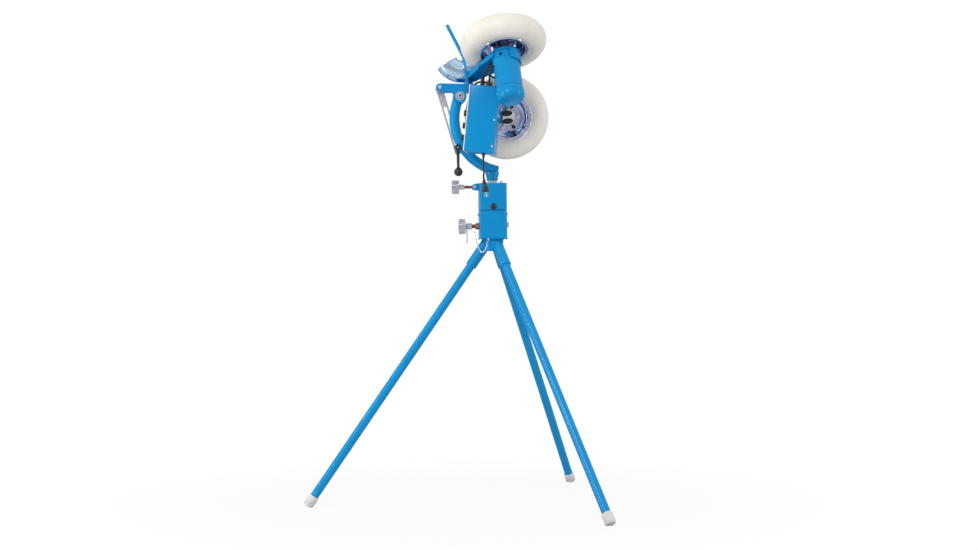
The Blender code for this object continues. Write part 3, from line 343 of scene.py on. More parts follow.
class Shape:
    """Closed solids gathered in one mesh, in the shared frame."""

    def __init__(self):
        self.bm = bmesh.new()

    def skin(self, rings, closed=False):
        """Joins rings of points, each a full ring or one point on the axis, into a surface."""
        made = [[self.bm.verts.new(p) for p in ring] for ring in rings]
        pairs = list(zip(made, made[1:] + made[:1])) if closed else list(zip(made, made[1:]))
        for one, two in pairs:
            self.strip(one, two)
        return made

    def strip(self, one, two):
        """Faces between two rings, or between a ring and a point."""
        count = max(len(one), len(two))
        if count == 1:
            return
        for i in range(count):
            j = (i + 1) % count
            corners = [one[i % len(one)], one[j % len(one)], two[j % len(two)], two[i % len(two)]]
            unique = [v for k, v in enumerate(corners) if v not in corners[:k]]
            self.bm.faces.new(unique)

    def lathe(self, place, profile, steps=ROUND, closed=False):
        """Spins (radius, z) points about z; a point with radius 0 closes the shape."""
        turns = [2 * math.pi * i / steps for i in range(steps)]
        rings = []
        for radius, z in profile:
            if radius < 1e-7:
                rings.append([place @ Vector((0.0, 0.0, z))])
            else:
                ring = [Vector((radius * math.cos(t), radius * math.sin(t), z)) for t in turns]
                rings.append([place @ p for p in ring])
        self.skin(rings, closed)
        return self

    def rod(self, place, radius, low, high, soft=0.0004, steps=ROUND):
        """A solid cylinder with softened ends."""
        profile = [(0.0, high), (radius - soft, high), (radius, high - soft)]
        profile += [(radius, low + soft), (radius - soft, low), (0.0, low)]
        return self.lathe(place, profile, steps)

    def ring(self, place, outer, inner, low, high, soft=0.0004, steps=ROUND):
        """A short tube with softened edges."""
        profile = [(outer - soft, high), (outer, high - soft), (outer, low + soft), (outer - soft, low)]
        profile += [(inner + soft, low), (inner, low + soft), (inner, high - soft), (inner + soft, high)]
        return self.lathe(place, profile, steps, closed=True)

    def sweep(self, path, radius, steps=SMALL, closed=False, inner=0.0):
        """A round bar along points; radius may be a list; inner makes it a tube."""
        path = [Vector(p) for p in path]
        radii = radius if isinstance(radius, (list, tuple)) else [radius] * len(path)
        side = None
        frames = []
        for i, point in enumerate(path):
            before = path[i - 1] if closed or i else path[0]
            after = path[(i + 1) % len(path)] if closed or i + 1 < len(path) else path[-1]
            along = (after - before).normalized()
            if side is None:
                side = along.orthogonal().normalized()
            side = (side - along * side.dot(along)).normalized()
            frames.append((point, side.copy(), along.cross(side)))

        def rings(sizes):
            turns = [2 * math.pi * i / steps for i in range(steps)]
            return [
                [p + (a * math.cos(t) + b * math.sin(t)) * r for t in turns]
                for (p, a, b), r in zip(frames, sizes)
            ]

        outer = rings(radii)
        if inner:
            self.skin(outer + rings([inner] * len(path))[::-1], closed=True)
            return self
        made = self.skin(outer, closed)
        if not closed:
            self.bm.faces.new(made[0])
            self.bm.faces.new(made[-1])
        return self

    def prism(self, place, outline, low, high, soft=0.0):
        """A flat plate from an outline of (x, y), with its edges softened."""
        tops = [self.bm.verts.new(place @ Vector((x, y, high))) for x, y in outline]
        feet = [self.bm.verts.new(place @ Vector((x, y, low))) for x, y in outline]
        faces = [self.bm.faces.new(tops), self.bm.faces.new(feet)]
        caps = [edge for face in faces for edge in face.edges]
        self.strip(tops, feet)
        return self.bevel(caps, soft, 2)

    def box(self, place, size, soft=0.0, segments=3):
        made = bmesh.ops.create_cube(self.bm, matrix=place @ Matrix.Diagonal((*size, 1.0)))
        edges = {edge for vert in made["verts"] for edge in vert.link_edges}
        return self.bevel(list(edges), soft, segments)

    def bevel(self, edges, width, segments):
        if width:
            bmesh.ops.bevel(
                self.bm, geom=edges, offset=width, segments=segments, affect="EDGES", profile=0.5
            )
        return self

    def ball(self, centre, radius, steps):
        bmesh.ops.create_uvsphere(
            self.bm,
            u_segments=steps,
            v_segments=steps // 2 + 2,
            radius=radius,
            matrix=Matrix.Translation(centre),
        )
        return self

    def show(self, name, body, material, replaces=(), angle=SHARP_ANGLE):
        """Makes the piece, which rides on a body."""
        bmesh.ops.recalc_face_normals(self.bm, faces=self.bm.faces)
        mesh = bpy.data.meshes.new(name)
        self.bm.to_mesh(mesh)
        self.bm.free()
        mesh.shade_smooth()
        mesh.set_sharp_from_angle(angle=math.radians(angle))
        mesh.materials.append(MATERIALS[material])
        piece = bpy.data.objects.new(name, mesh)
        link(piece)
        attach(piece, body)
        if replaces:
            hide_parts(*replaces)
        return piece


def unite(piece, others):
    """Joins solids that overlap piece into one skin."""
    for other in others:
        union = piece.modifiers.new("union", "BOOLEAN")
        union.operation = "UNION"
        union.solver = "EXACT"
        union.object = other
    bpy.context.view_layer.update()
    graph = bpy.context.evaluated_depsgraph_get()
    mesh = bpy.data.meshes.new_from_object(piece.evaluated_get(graph))
    piece.modifiers.clear()
    piece.data = mesh
    for other in others:
        bpy.data.objects.remove(other, do_unlink=True)
    mesh.shade_smooth()
    mesh.set_sharp_from_angle(angle=math.radians(SHARP_ANGLE))
    return piece


def circle(radius, count, z=None):
    """Points round a circle: (x, y), or (x, y, z) where z is given."""
    turns = (2 * math.pi * i / count for i in range(count))
    rest = () if z is None else (z,)
    return [(radius * math.cos(t), radius * math.sin(t), *rest) for t in turns]


def smooth_path(points):
    """Points on a smooth line through the given points."""
    steps = 8
    ends = [points[0]] + list(points) + [points[-1]]
    path = []
    for a, b, c, d in zip(ends, ends[1:], ends[2:], ends[3:]):
        for i in range(steps):
            t = i / steps
            cubic = (2 * a - 5 * b + 4 * c - d) * t**2 + (3 * b - a - 3 * c + d) * t**3
            path.append(((c - a) * t + cubic) / 2 + b)
    return path + [points[-1]]


def turned(place, turn, axis="Z"):
    """A place turned by an angle in radians about one of its own axes."""
    return place @ Matrix.Rotation(turn, 4, axis)


def dress(material, width, *nodes):
    """Gives CAD nodes their material, softened edges and even shading."""
    for node in nodes:
        obj = FRAME["nodes"][node]
        obj.data.materials.clear()
        obj.data.materials.append(MATERIALS[material])
        join = obj.modifiers.new("join", "WELD")
        join.merge_threshold = 0.00001
        if width:
            soft = obj.modifiers.new("soft", "BEVEL")
            soft.width = width
            soft.segments = 2
            soft.limit_method = "ANGLE"
            soft.angle_limit = math.radians(40.0)
        even = obj.modifiers.new("even", "WEIGHTED_NORMAL")
        even.keep_sharp = False
        even.weight = 100


# ---------------------------------------------------------------- tripod and base


def legs():
    """Leg tubes, their rubber tips and the rivets of their sockets."""
    outer = LEG_TUBE / 2
    head = [(0.0, 0.0026), (0.0022, 0.0024), (0.0042, 0.001), (0.0046, -0.001), (0.0, -0.001)]
    for key in ("rear", "near", "far"):
        top, low = rod_line(f"leg_{key}")
        down = place_at(top, low - top, (0.0, 0.0, 1.0))
        length = (low - top).length
        tube = Shape().ring(down, outer, outer - LEG_WALL, 0.0, length)
        tube.show(f"tube_{key}", "base", "blue_paint", [f"leg_{key}"])
        rubber_tip(key, down, length)
        bolts = Shape()
        for side in (1.0, -1.0):
            spot = turned(down, math.radians(90.0), "X") @ shift(z=side * SOCKET_RADIUS, y=RIVET_DEPTH)
            bolts.lathe(turned(spot, 0.0 if side > 0 else math.pi, "X"), head, 20)
        bolts.show(f"socket_rivets_{key}", "base", "blue_paint")


def rubber_tip(key, down, length):
    """A ribbed rubber cup, cut flat on the floor."""
    half = FOOT_WIDTH / 2
    skin = half - 0.0002
    bore = LEG_TUBE / 2 + GAP
    mouth = length - 0.027
    end = length + 0.0155
    profile = [(bore, mouth + 0.001), (half - 0.003, mouth), (half - 0.002, mouth + 0.001)]
    for i in range(FOOT_RIBS):
        z = mouth + 0.005 + i * 0.0080
        profile += [(half - 0.0012, z), (skin, z + 0.001), (skin, z + 0.003), (half - 0.0012, z + 0.004)]
    profile += [(skin, end - 0.005), (half - 0.0014, end - 0.0018), (half - 0.0042, end), (0.0, end)]
    profile += [(0.0, length + GAP), (bore, length + GAP)]
    tip = Shape().lathe(down, profile)
    bm = tip.bm
    bmesh.ops.recalc_face_normals(bm, faces=bm.faces)
    bmesh.ops.bisect_plane(
        bm,
        geom=bm.verts[:] + bm.edges[:] + bm.faces[:],
        plane_co=(0.0, 0.0, 0.0),
        plane_no=(0.0, 0.0, -1.0),
        clear_outer=True,
    )
    bmesh.ops.holes_fill(bm, edges=[edge for edge in bm.edges if edge.is_boundary])
    tip.show(f"rubber_tip_{key}", "base", "foot_rubber", [f"foot_{key}"])


def weld_bead(path, radius, closed=False):
    """A lumpy bead of weld along a path."""
    lumps = [0.16 * math.sin(2.1 * i) + 0.07 * math.sin(5.3 * i) for i in range(len(path))]
    return Shape().sweep(path, [radius * (1.0 + lump) for lump in lumps], 10, closed)


def base_details():
    """Looks of the base's CAD pieces, its welds and the washer of its cross bolt."""
    dress("blue_paint", 0.0006, "tripod_hub")
    dress("blue_paint", 0.0020, "base_box")
    dress("blue_paint", 0.0030, "post_case")
    dress("blue_paint", 0.0010, "adjuster_clevis")
    dress("zinc", 0.0005, "cross_bolt", "bearing_flange", "adjuster_bolt", "swivel_shaft")
    dress("zinc", 0.0005, *(f"screw_{end}_{side}" for end in ("rear", "front") for side in ("near", "far")))
    dress("bronze", 0.0004, "bush_lower", "bush_upper")
    dress("copper", 0.0008, "lock_boss")
    dress("black_plastic", 0.0, "post_plug")
    low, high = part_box("base_box")
    box_low, half = low.z, (high.x - low.x) / 2
    round_hub = [Vector((AXIS.x + x, y, z)) for x, y, z in circle(HUB_WELD, 72, box_low - 0.0015)]
    weld_bead(round_hub, 0.0026, True).show("hub_weld", "base", "blue_paint")
    for key, side in (("rear", -1.0), ("front", 1.0)):
        x = AXIS.x + side * (half + 0.0006)
        path = [Vector((x, -0.040 + 0.002 * i, high.z - 0.0135)) for i in range(41)]
        weld_bead(path, 0.0030).show(f"box_weld_{key}", "base", "blue_paint")
        path = [Vector((x, -0.036 + 0.002 * i, box_low + 0.0005)) for i in range(37)]
        weld_bead(path, 0.0022).show(f"box_foot_weld_{key}", "base", "blue_paint")
    front = place_at((high.x, 0.0, middle_of("cross_bolt").z), (1, 0, 0), (0, 1, 0))
    washer = Shape().ring(front, 0.0125, 0.0058, 0.0001, 0.0016)
    washer.show("cross_bolt_washer", "base", "zinc")


def rearward(height):
    """z runs out from the swivel axis to the rear."""
    return place_at((AXIS.x, 0.0, height), (-1.0, 0.0, 0.0), (0.0, 1.0, 0.0))


def thread(place, radius, low, high):
    """A screw thread drawn as close rings."""
    root = radius * 0.88
    pitch = 0.0018
    profile = [(0.0, low), (root, low)]
    for i in range(int((high - low) / pitch)):
        z = low + (i + 0.25) * pitch
        profile += [(root, z), (radius, z + pitch * 0.35)]
        profile += [(radius, z + pitch * 0.45), (root, z + pitch * 0.74)]
    profile += [(root, high), (0.0, high)]
    return Shape().lathe(place, profile, 28)


def fluted(radius, flutes, steps, depth, power):
    """The outline of a knob with grooves round it, with steps points to each groove."""
    outline = []
    for i in range(flutes * steps):
        turn = 2 * math.pi * i / (flutes * steps)
        reach = radius - depth * max(0.0, math.cos(flutes * turn)) ** power
        outline.append((reach * math.cos(turn), reach * math.sin(turn)))
    return outline


def star_knob(place, radius, low, high):
    """A cast knob with deep rounded grooves and a turned face."""
    knob = Shape().prism(place, fluted(radius, 14, 12, 0.0034, 0.6), low, high, 0.0011)
    knob.ring(place, radius * 0.62, radius * 0.36, high - 0.001, high + 0.0012, 0.0005)
    knob.rod(place, 0.0070, high - 0.001, high + 0.0006)
    return knob


def locks():
    """The base lock with its copper screw, and the swivel lock on its clevis."""
    body = "lock_knob_body"
    place = rearward(JOINTS[body]["pos_m"][2])
    thread(place, 0.0080, 0.040, 0.0795).show("lock_thread", body, "copper", ["lock_screw"])
    collar = Shape().ring(place, 0.0122, 0.0030, 0.0785, 0.0925, 0.0010)
    collar.ring(place, 0.0088, 0.0030, 0.0920, 0.1022, 0.0004)
    collar.show("lock_collar", body, "cast_grey")
    knob = star_knob(place, 0.0285, 0.1020, 0.1262)
    knob.show("lock_handwheel", body, "cast_grey", ["lock_knob"])
    body = "adjuster_knob_body"
    place = rearward(JOINTS[body]["pos_m"][2])
    pin = middle_of("adjuster_bolt")
    screw = thread(place, 0.0060, AXIS.x - pin.x + 0.0085, 0.135)
    eye = place_at((pin.x, 0.0, pin.z), (0.0, -1.0, 0.0))
    screw.ring(eye, 0.0096, 0.0043, -0.006, 0.006, 0.0008)
    screw.show("adjuster_thread", "base", "copper", ["adjuster_screw"])
    collar = Shape().ring(place, 0.0095, 0.0064, 0.104, 0.1245, 0.0008)
    collar.show("adjuster_collar", body, "cast_grey")
    knob = star_knob(place, 0.0255, 0.1243, 0.1498)
    knob.show("adjuster_handwheel", body, "cast_grey", ["adjuster_knob"])


def pin_and_chain():
    """The safety pin with its ring, and the bead chain that holds it to the hub."""
    centre = Vector((middle_of("safety_pin").x, 0.0, middle_of("lock_screw").z))
    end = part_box("safety_pin")[0].z
    turns = [math.radians(-150 + 300 * i / 40) for i in range(41)]
    loop = [centre + Vector((0.0, 0.0115 * math.sin(t), 0.0115 * math.cos(t))) for t in turns]
    shank = [centre + Vector((0.0, 0.0, -0.020)), centre + Vector((0.0, 0.0, -0.026))]
    shank += [Vector((centre.x, 0.0, end + rise)) for rise in (0.006, 0.002, 0.0)]
    radii = [0.0019] * len(loop) + [0.0023] * 3 + [0.0019, 0.0009]
    Shape().sweep(loop + shank, radii, 16).show("ring_pin", "base", "zinc", ["safety_pin"])
    chain = Shape()
    path = []
    for i in range(CHAIN_BEADS + 1):
        t = i / CHAIN_BEADS
        sag = Vector((0.0, -0.012 * math.sin(math.pi * t), -0.24 * t * (1 - t)))
        path.append(CHAIN_START.lerp(CHAIN_END, t) + sag)
        chain.ball(path[-1], 0.0023, 12)
    chain.sweep(path, 0.0010, 6)
    chain.show("bead_chain", "base", "zinc", ["pin_chain"])
    eye = place_at(CHAIN_END + Vector((0.002, 0.0, 0.004)), (1.0, -0.3, 0.0))
    hoop = Shape().sweep([eye @ Vector(p) for p in circle(0.0062, 28, 0.0)], 0.0011, 10, True)
    hoop.show("chain_eye", "base", "zinc")


# ---------------------------------------------------------------- yoke


def across(point):
    """z runs to the near side through a point of the machine's middle plane."""
    return place_at((point[0], 0.0, point[2]), (0.0, -1.0, 0.0))


def yoke():
    """The bent tube with its pivot boss, clamp boss and flared neck."""
    start, end = YOKE_SPAN
    steps = 72
    path = []
    for i in range(steps + 1):
        t = math.radians(start + (end - start) * i / steps)
        path.append(YOKE_CENTRE + Vector((math.cos(t), 0.0, math.sin(t))) * YOKE_RADIUS)
    half = YOKE_TUBE / 2
    radii = [half] * steps + [half - 0.0015]
    arm = Shape().sweep(path, radii, 40)
    boss = Shape().rod(across(PIVOT), 0.0250, -0.0247, 0.0247, 0.0012, 64)
    clamp = Shape().rod(across(CLAMP), 0.0130, -0.0193, 0.0190, 0.0008)
    low = AXIS.z + FLANGE_TOP
    profile = [(0.0, NECK_TOP), (0.0262, NECK_TOP), (0.0258, NECK_TOP - 0.004), (0.0225, NECK_TOP - 0.016)]
    profile += [(0.0203, low + 0.006), (0.0200, low + 0.0006), (0.0194, low), (0.0, low)]
    neck = Shape().lathe(shift(x=AXIS.x), profile, 64)
    arm = arm.show("bent_yoke", "yoke", "blue_paint", ["yoke_arm"])
    named = (("boss_a", boss), ("boss_b", clamp), ("neck", neck))
    unite(arm, [shape.show(name, "yoke", "blue_paint") for name, shape in named])
    bead = [Vector((AXIS.x + x, y, z)) for x, y, z in circle(0.0205, 60, low + 0.0052)]
    weld_bead(bead, 0.0014, True).show("neck_weld", "yoke", "blue_paint")
    dress("zinc", 0.0005, "clamp_bolt")


def clamp_lever():
    """The black tilt clamp: hub, tapered rod and ball."""
    profile = [(0.0045, 0.0200), (0.0112, 0.0200), (0.0116, 0.0206)]
    profile += [(0.0112, 0.0370), (0.0098, 0.0398), (0.0045, 0.0400)]
    lever = Shape().lathe(across(CLAMP), profile, 40, closed=True)
    top = Vector((CLAMP.x, -0.030, CLAMP.z))
    centre = top + Vector((0.001, 0.0, -0.091))
    path = [top.lerp(centre, t / 10) for t in range(1, 11)]
    lever.sweep(path, [0.0058 - 0.0013 * i / 9 for i in range(10)])
    lever.ball(centre, 0.0160, 40)
    lever.rod(Matrix.Translation(centre), 0.0068, 0.0125, 0.0175, 0.0006, 24)
    lever.show("ball_lever", "clamp_lever_body", "black_plastic", ["clamp_lever"])


# ---------------------------------------------------------------- head


def head_metal():
    """Looks of the head's CAD pieces, and the washer and cap of its pivot bolt."""
    dress("blue_paint", 0.0008, "tilt_bracket")
    dress("blue_paint", 0.0009, "face_plate")
    dress("blue_paint", 0.0007, "upper_arm", "lower_arm")
    dress("blue_paint", 0.0006, "box_bracket")
    dress("zinc", 0.0005, "pivot_bolt", "pivot_nut", "link_pin", "chute_screw_upper", "chute_screw_lower")
    dress("zinc", 0.0007, "tilt_link")
    dress("zinc", 0.0006, "upper_shaft", "lower_shaft")
    side = across(PIVOT)
    face = -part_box("tilt_bracket")[0].y
    Shape().ring(side, 0.0165, 0.0118, face + 0.0001, face + 0.0016).show("pivot_washer", "head", "zinc")
    cap = [(0.0, 0.0106), (0.0038, 0.0109), (0.0046, 0.0100), (0.0, 0.0100)]
    cap = Shape().lathe(side, [(radius, face + z) for radius, z in cap], 28)
    cap.show("pivot_end_cap", "head", "black_plastic")


def chute():
    """The polished elbow with its rolled mouth and screwed tab; its steel is tinted blue, a painted
    reflection of the blue paint round it.
    """
    centre = Vector((PLATE_BACK - 0.002, 0.0, CHUTE_RISE + CHUTE_BEND))
    path = [Vector((CHUTE_SPOUT, 0.0, CHUTE_RISE)), Vector((CHUTE_SPOUT - 0.004, 0.0, CHUTE_RISE))]
    for i in range(33):
        t = math.radians(CHUTE_TURN * i / 32)
        path.append(centre + Vector((-math.sin(t), 0.0, -math.cos(t))) * CHUTE_BEND)
    world = [HEAD @ p for p in path]
    elbow = Shape().sweep(world, CHUTE_OUTER, 64, inner=CHUTE_OUTER - CHUTE_WALL)
    elbow.show("steel_chute", "head", "chute_steel_painted_reflection", ["ball_chute"])
    out = (world[-1] - world[-2]).normalized()
    mouth = place_at(world[-1] - out * 0.0015, out, (0.0, 1.0, 0.0))
    lip = [mouth @ Vector(p) for p in circle(CHUTE_OUTER - 0.0004, 72, 0.0)]
    Shape().sweep(lip, 0.0019, 12, True).show("chute_lip", "head", "chute_steel_painted_reflection")
    tab = HEAD @ shift(PLATE_BACK - 0.0011, -0.0485, -0.004)
    Shape().box(tab, (0.0016, 0.0160, 0.0460), 0.0006, 2).show("chute_tab", "head", "chute_steel_painted_reflection")


def handle():
    """The round bar that swings the head, with a domed end."""
    top, low = rod_line("handle_bar")
    along = (top - low).normalized()
    path = [low - along * 0.008, low.lerp(top, 0.3), low.lerp(top, 0.7), top - along * HANDLE_DOME]
    radii = [HANDLE_RADIUS] * 4
    for i in range(1, 6):
        t = math.radians(90 * i / 5)
        path.append(top - along * HANDLE_DOME + along * HANDLE_DOME * math.sin(t))
        radii.append(max(0.0004, HANDLE_RADIUS * math.cos(t)))
    Shape().sweep(path, radii, 32).show("swing_bar", "head", "blue_paint", ["handle_bar"])
    foot = [low + along * 0.004 + Vector(p) for p in circle(0.0066, 36, 0.0)]
    weld_bead(foot, 0.0016, True).show("swing_bar_weld", "head", "blue_paint")


# ---------------------------------------------------------------- wheels and motors


def soften(profile, size, steps=4):
    """Rounds the corners of a closed profile."""
    made = []
    count = len(profile)
    for i in range(count):
        before, here, after = (Vector(profile[k % count]) for k in (i - 1, i, i + 1))
        one = min(size, (before - here).length * 0.45)
        two = min(size, (after - here).length * 0.45)
        start = here + (before - here).normalized() * one
        end = here + (after - here).normalized() * two
        for k in range(steps + 1):
            t = k / steps
            made.append(tuple(start * (1 - t) ** 2 + here * 2 * t * (1 - t) + end * t**2))
    return made


def tyre(side, place):
    """A smooth tyre with mould lines round its shoulders and a thick bead."""
    centre = TYRE_RADIUS - TYRE_HALF
    crown = []
    steps = 96
    for i in range(steps + 1):
        turn = 108.0 - 216.0 * i / steps
        lines = sum(math.exp(-(((abs(turn) - at) / 1.3) ** 2)) for at in (24.0, 62.0, 84.0))
        centre_line = math.exp(-((turn / 0.9) ** 2))
        radius = TYRE_HALF - 0.0003 + 0.00045 * lines + 0.0003 * centre_line
        t = math.radians(turn)
        crown.append((centre + radius * math.cos(t), radius * math.sin(t)))
    bead = RIM_HALF - 0.0056
    seat = RIM_SEAT + GAP
    profile = crown + [(0.0885, -bead - 0.0005), (seat, -bead), (seat, bead), (0.0885, bead + 0.0005)]
    shape = Shape().lathe(place, profile, FINE, closed=True)
    shape.show(f"{side}_pneumatic_tyre", f"{side}_wheel", "white_rubber", [f"{side}_tyre"], 50.0)


def rim_profile():
    """Radius and z round a rim's section: lips, seats and well, then the disc and its hub."""
    seat, half = RIM_SEAT, RIM_HALF
    wall, well, disc = 0.003, 0.070, 0.0665
    profile = [(RIM_LIP, half), (RIM_LIP, half - wall), (seat, half - 0.005), (seat - 0.002, 0.016)]
    profile += [(well, 0.011), (well, -0.011), (seat - 0.002, -0.016), (seat, 0.005 - half)]
    profile += [(RIM_LIP, wall - half), (RIM_LIP, -half), (seat - 0.004, 0.002 - half)]
    profile += [(seat - 0.006, -0.018), (disc, -0.014), (0.056, -0.0115), (0.050, -0.008), (0.036, -0.0085)]
    profile += [(0.024, -0.010), (0.020, -0.022), (SHAFT_BORE, -0.022), (SHAFT_BORE, 0.046), (0.018, 0.046)]
    profile += [(0.020, -0.004), (0.050, -0.004), (disc, -0.008), (disc, 0.012)]
    return profile + [(seat - 0.006, 0.018), (seat - 0.004, half - 0.002)]


def wheel(side, place):
    """Rim, hub cap with two windows over black sheets that paint the dome's dark reflection, disc bolts,
    valve and its hose.
    """
    body = f"{side}_wheel"
    tyre(side, place)
    rim = Shape().lathe(place, soften(rim_profile(), 0.0022), FINE, closed=True)
    rim.show(f"{side}_dished_rim", body, "dish_steel", [f"{side}_rim"], 60.0)
    lips = Shape()
    for z in (-RIM_HALF + 0.0018, RIM_HALF - 0.0018):
        edge = [place @ Vector(p) for p in circle(RIM_LIP - 0.0006, 144, z)]
        lips.sweep(edge, 0.0020, 14, True)
    lips.show(f"{side}_rim_lips", body, "polished_steel")
    out = turned(place, math.pi, "X")
    profile = [(0.0, 0.0345), (0.012, 0.0342), (0.022, 0.0330), (0.029, 0.0300), (0.0315, 0.0250)]
    profile += [(0.0320, 0.0110), (0.0340, 0.0092), (0.0, 0.0092)]
    cap = Shape().lathe(out, profile, 72).show(f"{side}_hub_cap", body, "polished_steel")
    # Black sheets under the two cap windows: painted dark reflection, the dark top and bottom that the chrome
    # dome shows.
    windows, reflection_sheets = Shape(), Shape()
    for middle in (-0.0148, 0.0148):
        outline = [(0.0215 * x, 0.0112 * y + middle) for x, y in circle(1.0, 64)]
        windows.prism(out, outline, 0.0270, 0.0600)
        outline = [(0.97 * x, 0.97 * (y - middle) + middle) for x, y in outline]
        reflection_sheets.prism(out, outline, 0.0260, 0.0290, 0.0006)
    cutter = windows.show(f"{side}_cutter", body, "ink")
    cut = cap.modifiers.new("windows", "BOOLEAN")
    cut.operation = "DIFFERENCE"
    cut.solver = "EXACT"
    cut.object = cutter
    unite(cap, [])
    bpy.data.objects.remove(cutter, do_unlink=True)
    reflection_sheets.show(f"{side}_hub_painted_reflection", body, "black_plastic")
    bolts = Shape()
    for turn in (0.0, 120.0, 240.0):
        spot = turned(out, math.radians(turn)) @ shift(x=BOLT_CIRCLE)
        bolts.ring(spot, 0.0088, 0.0040, 0.0070, 0.0098, 0.0005, 32)
        bolts.prism(spot, circle(BOLT_HEAD, 6), 0.0090, 0.0142, 0.0006)
        spot = turned(place, math.radians(-turn)) @ shift(x=BOLT_CIRCLE)
        bolts.prism(spot, circle(BOLT_HEAD, 6), 0.0035, 0.0085, 0.0006)
    bolts.show(f"{side}_disc_bolts", body, "zinc")
    vents = Shape()
    for turn in (60.0, 180.0, 300.0):
        spot = turned(out, math.radians(turn)) @ shift(x=VENT_CIRCLE)
        vents.ring(spot, 0.0070, 0.0050, 0.0078, 0.0104, 0.0006, 32)
        vents.rod(spot, 0.0052, 0.0070, 0.0088, 0.0003, 32)
    vents.show(f"{side}_disc_vents", body, "black_plastic")
    profile = [(0.0, 0.008), (0.0062, 0.008), (0.0054, 0.014), (0.0040, 0.019), (0.0040, 0.027)]
    profile += [(0.0048, 0.0275), (0.0048, 0.036), (0.0040, 0.0372), (0.0, 0.0375)]
    stem = Shape().lathe(turned(out, math.radians(VALVE_TURN)) @ shift(x=VALVE_CIRCLE), profile, 28)
    hose = ((0.000, -0.0510, 0.0105), (0.006, -0.0545, 0.0150))
    hose += ((0.013, -0.0575, 0.0165), (0.0205, -0.0563, 0.0170))
    stem.sweep(smooth_path([out @ Vector(p) for p in hose]), 0.0016, 12)
    stem.show(f"{side}_valve", body, "black_plastic")


def motor(side, place):
    """A round motor: mounting face, case, seam, end bell with its screws and ribs, and the arm's screw."""
    radius, end = MOTOR_RADIUS, MOTOR_END
    front = ARM_IN + 0.0063
    seam = end - 0.045
    profile = [(0.0, end), (0.020, end), (0.0225, end - 0.0012), (0.034, end - 0.0012)]
    profile += [(0.042, end - 0.003), (0.0468, end - 0.008), (0.0492, end - 0.014)]
    profile += [(radius + 0.001, end - 0.022), (radius + 0.001, seam + 0.0012)]
    profile += [(radius + 0.0004, seam + 0.0002), (radius - 0.0022, seam - 0.0004)]
    profile += [(radius - 0.0022, seam - 0.0022), (radius - 0.0008, seam - 0.0030)]
    profile += [(radius - 0.0006, front + 0.030), (radius - 0.0006, front + 0.0275)]
    profile += [(radius - 0.0020, front + 0.0265), (radius - 0.0020, front + 0.0250)]
    profile += [(radius - 0.0004, front + 0.0240), (radius - 0.0004, front + 0.0015)]
    profile += [(radius - 0.0015, front), (SHAFT_BORE, front)]
    profile += [(SHAFT_BORE, front + 0.050), (0.0, front + 0.050)]
    case = Shape().lathe(place, profile, 96)
    case.show(f"{side}_motor_case", "head", "blue_paint", [f"{side}_motor"], 32.0)
    screws = Shape()
    profile = [(0.0, end + 0.0006), (0.0030, end + 0.0004), (0.0042, end - 0.001)]
    profile += [(0.0042, end - 0.006), (0.0, end - 0.006)]
    for i in range(4):
        screws.lathe(turned(place, math.radians(45 + 90 * i)) @ shift(x=0.0385), profile, 20)
    screws.show(f"{side}_motor_screws", "head", "blue_paint")
    ribs = Shape()
    for i in range(12):
        spot = turned(place, math.radians(30 * i + 15)) @ shift(x=radius + 0.00075, z=end - 0.0335)
        ribs.box(spot, (0.0012, 0.0036, 0.0130), 0.0005, 2)
    ribs.show(f"{side}_motor_ribs", "head", "blue_paint")
    near = place.to_3x3().inverted() @ Vector((0.0, -1.0, 0.0))
    turn = math.atan2(near.y, near.x) + math.radians(24.0)
    spot = turned(turned(place, turn) @ shift(x=0.0545, z=ARM_IN + 0.024), math.radians(90.0), "Y")
    profile = [(0.0, 0.0002), (0.0026, 0.0002), (0.0034, 0.0016), (0.0050, 0.0016)]
    profile += [(0.0056, 0.0004), (0.0056, -0.003), (0.0, -0.003)]
    Shape().lathe(spot, profile, 28).show(f"{side}_arm_screw", "head", "black_plastic")


# ---------------------------------------------------------------- control box


def dial_place(height):
    """z runs out of the panel to the operator."""
    return CONTROL @ place_at((-CONTROL_SIZE.x / 2, 0.0, height), (-1.0, 0.0, 0.0), (0.0, -1.0, 0.0))


def text_mesh(words, size):
    """Raised digits as a mesh, centred on the origin."""
    curve = bpy.data.curves.new("digits", "FONT")
    curve.body = words
    curve.size = size
    curve.align_x = "CENTER"
    curve.align_y = "CENTER"
    curve.extrude = 0.00015
    curve.resolution_u = 3
    holder = bpy.data.objects.new("digits", curve)
    link(holder)
    bpy.context.view_layer.update()
    mesh = bpy.data.meshes.new_from_object(holder.evaluated_get(bpy.context.evaluated_depsgraph_get()))
    bpy.data.objects.remove(holder, do_unlink=True)
    return mesh


def dial_marks(name, place, labels, sweep):
    """Tick marks and numbers round a dial, printed on the panel."""
    marks = Shape()
    level = PANEL_THICK + GAP + 0.0001
    start = math.radians(90 + sweep / 2)
    ticks = (len(labels) - 1) * 2
    for i in range(ticks + 1):
        long = 0.0026 if i % 2 == 0 else 0.0015
        tick = turned(place, start - math.radians(sweep) * i / ticks)
        marks.box(tick @ shift(x=TICK_CIRCLE + long / 2, z=level), (long, 0.0005, 0.0004))
    for i, label in enumerate(labels):
        turn = start - math.radians(sweep) * i / (len(labels) - 1)
        mesh = text_mesh(label, 0.0050)
        mesh.transform(place @ shift(DIGIT_CIRCLE * math.cos(turn), DIGIT_CIRCLE * math.sin(turn), level))
        marks.bm.from_mesh(mesh)
    marks.show(f"{name}_scale", "head", "ink")


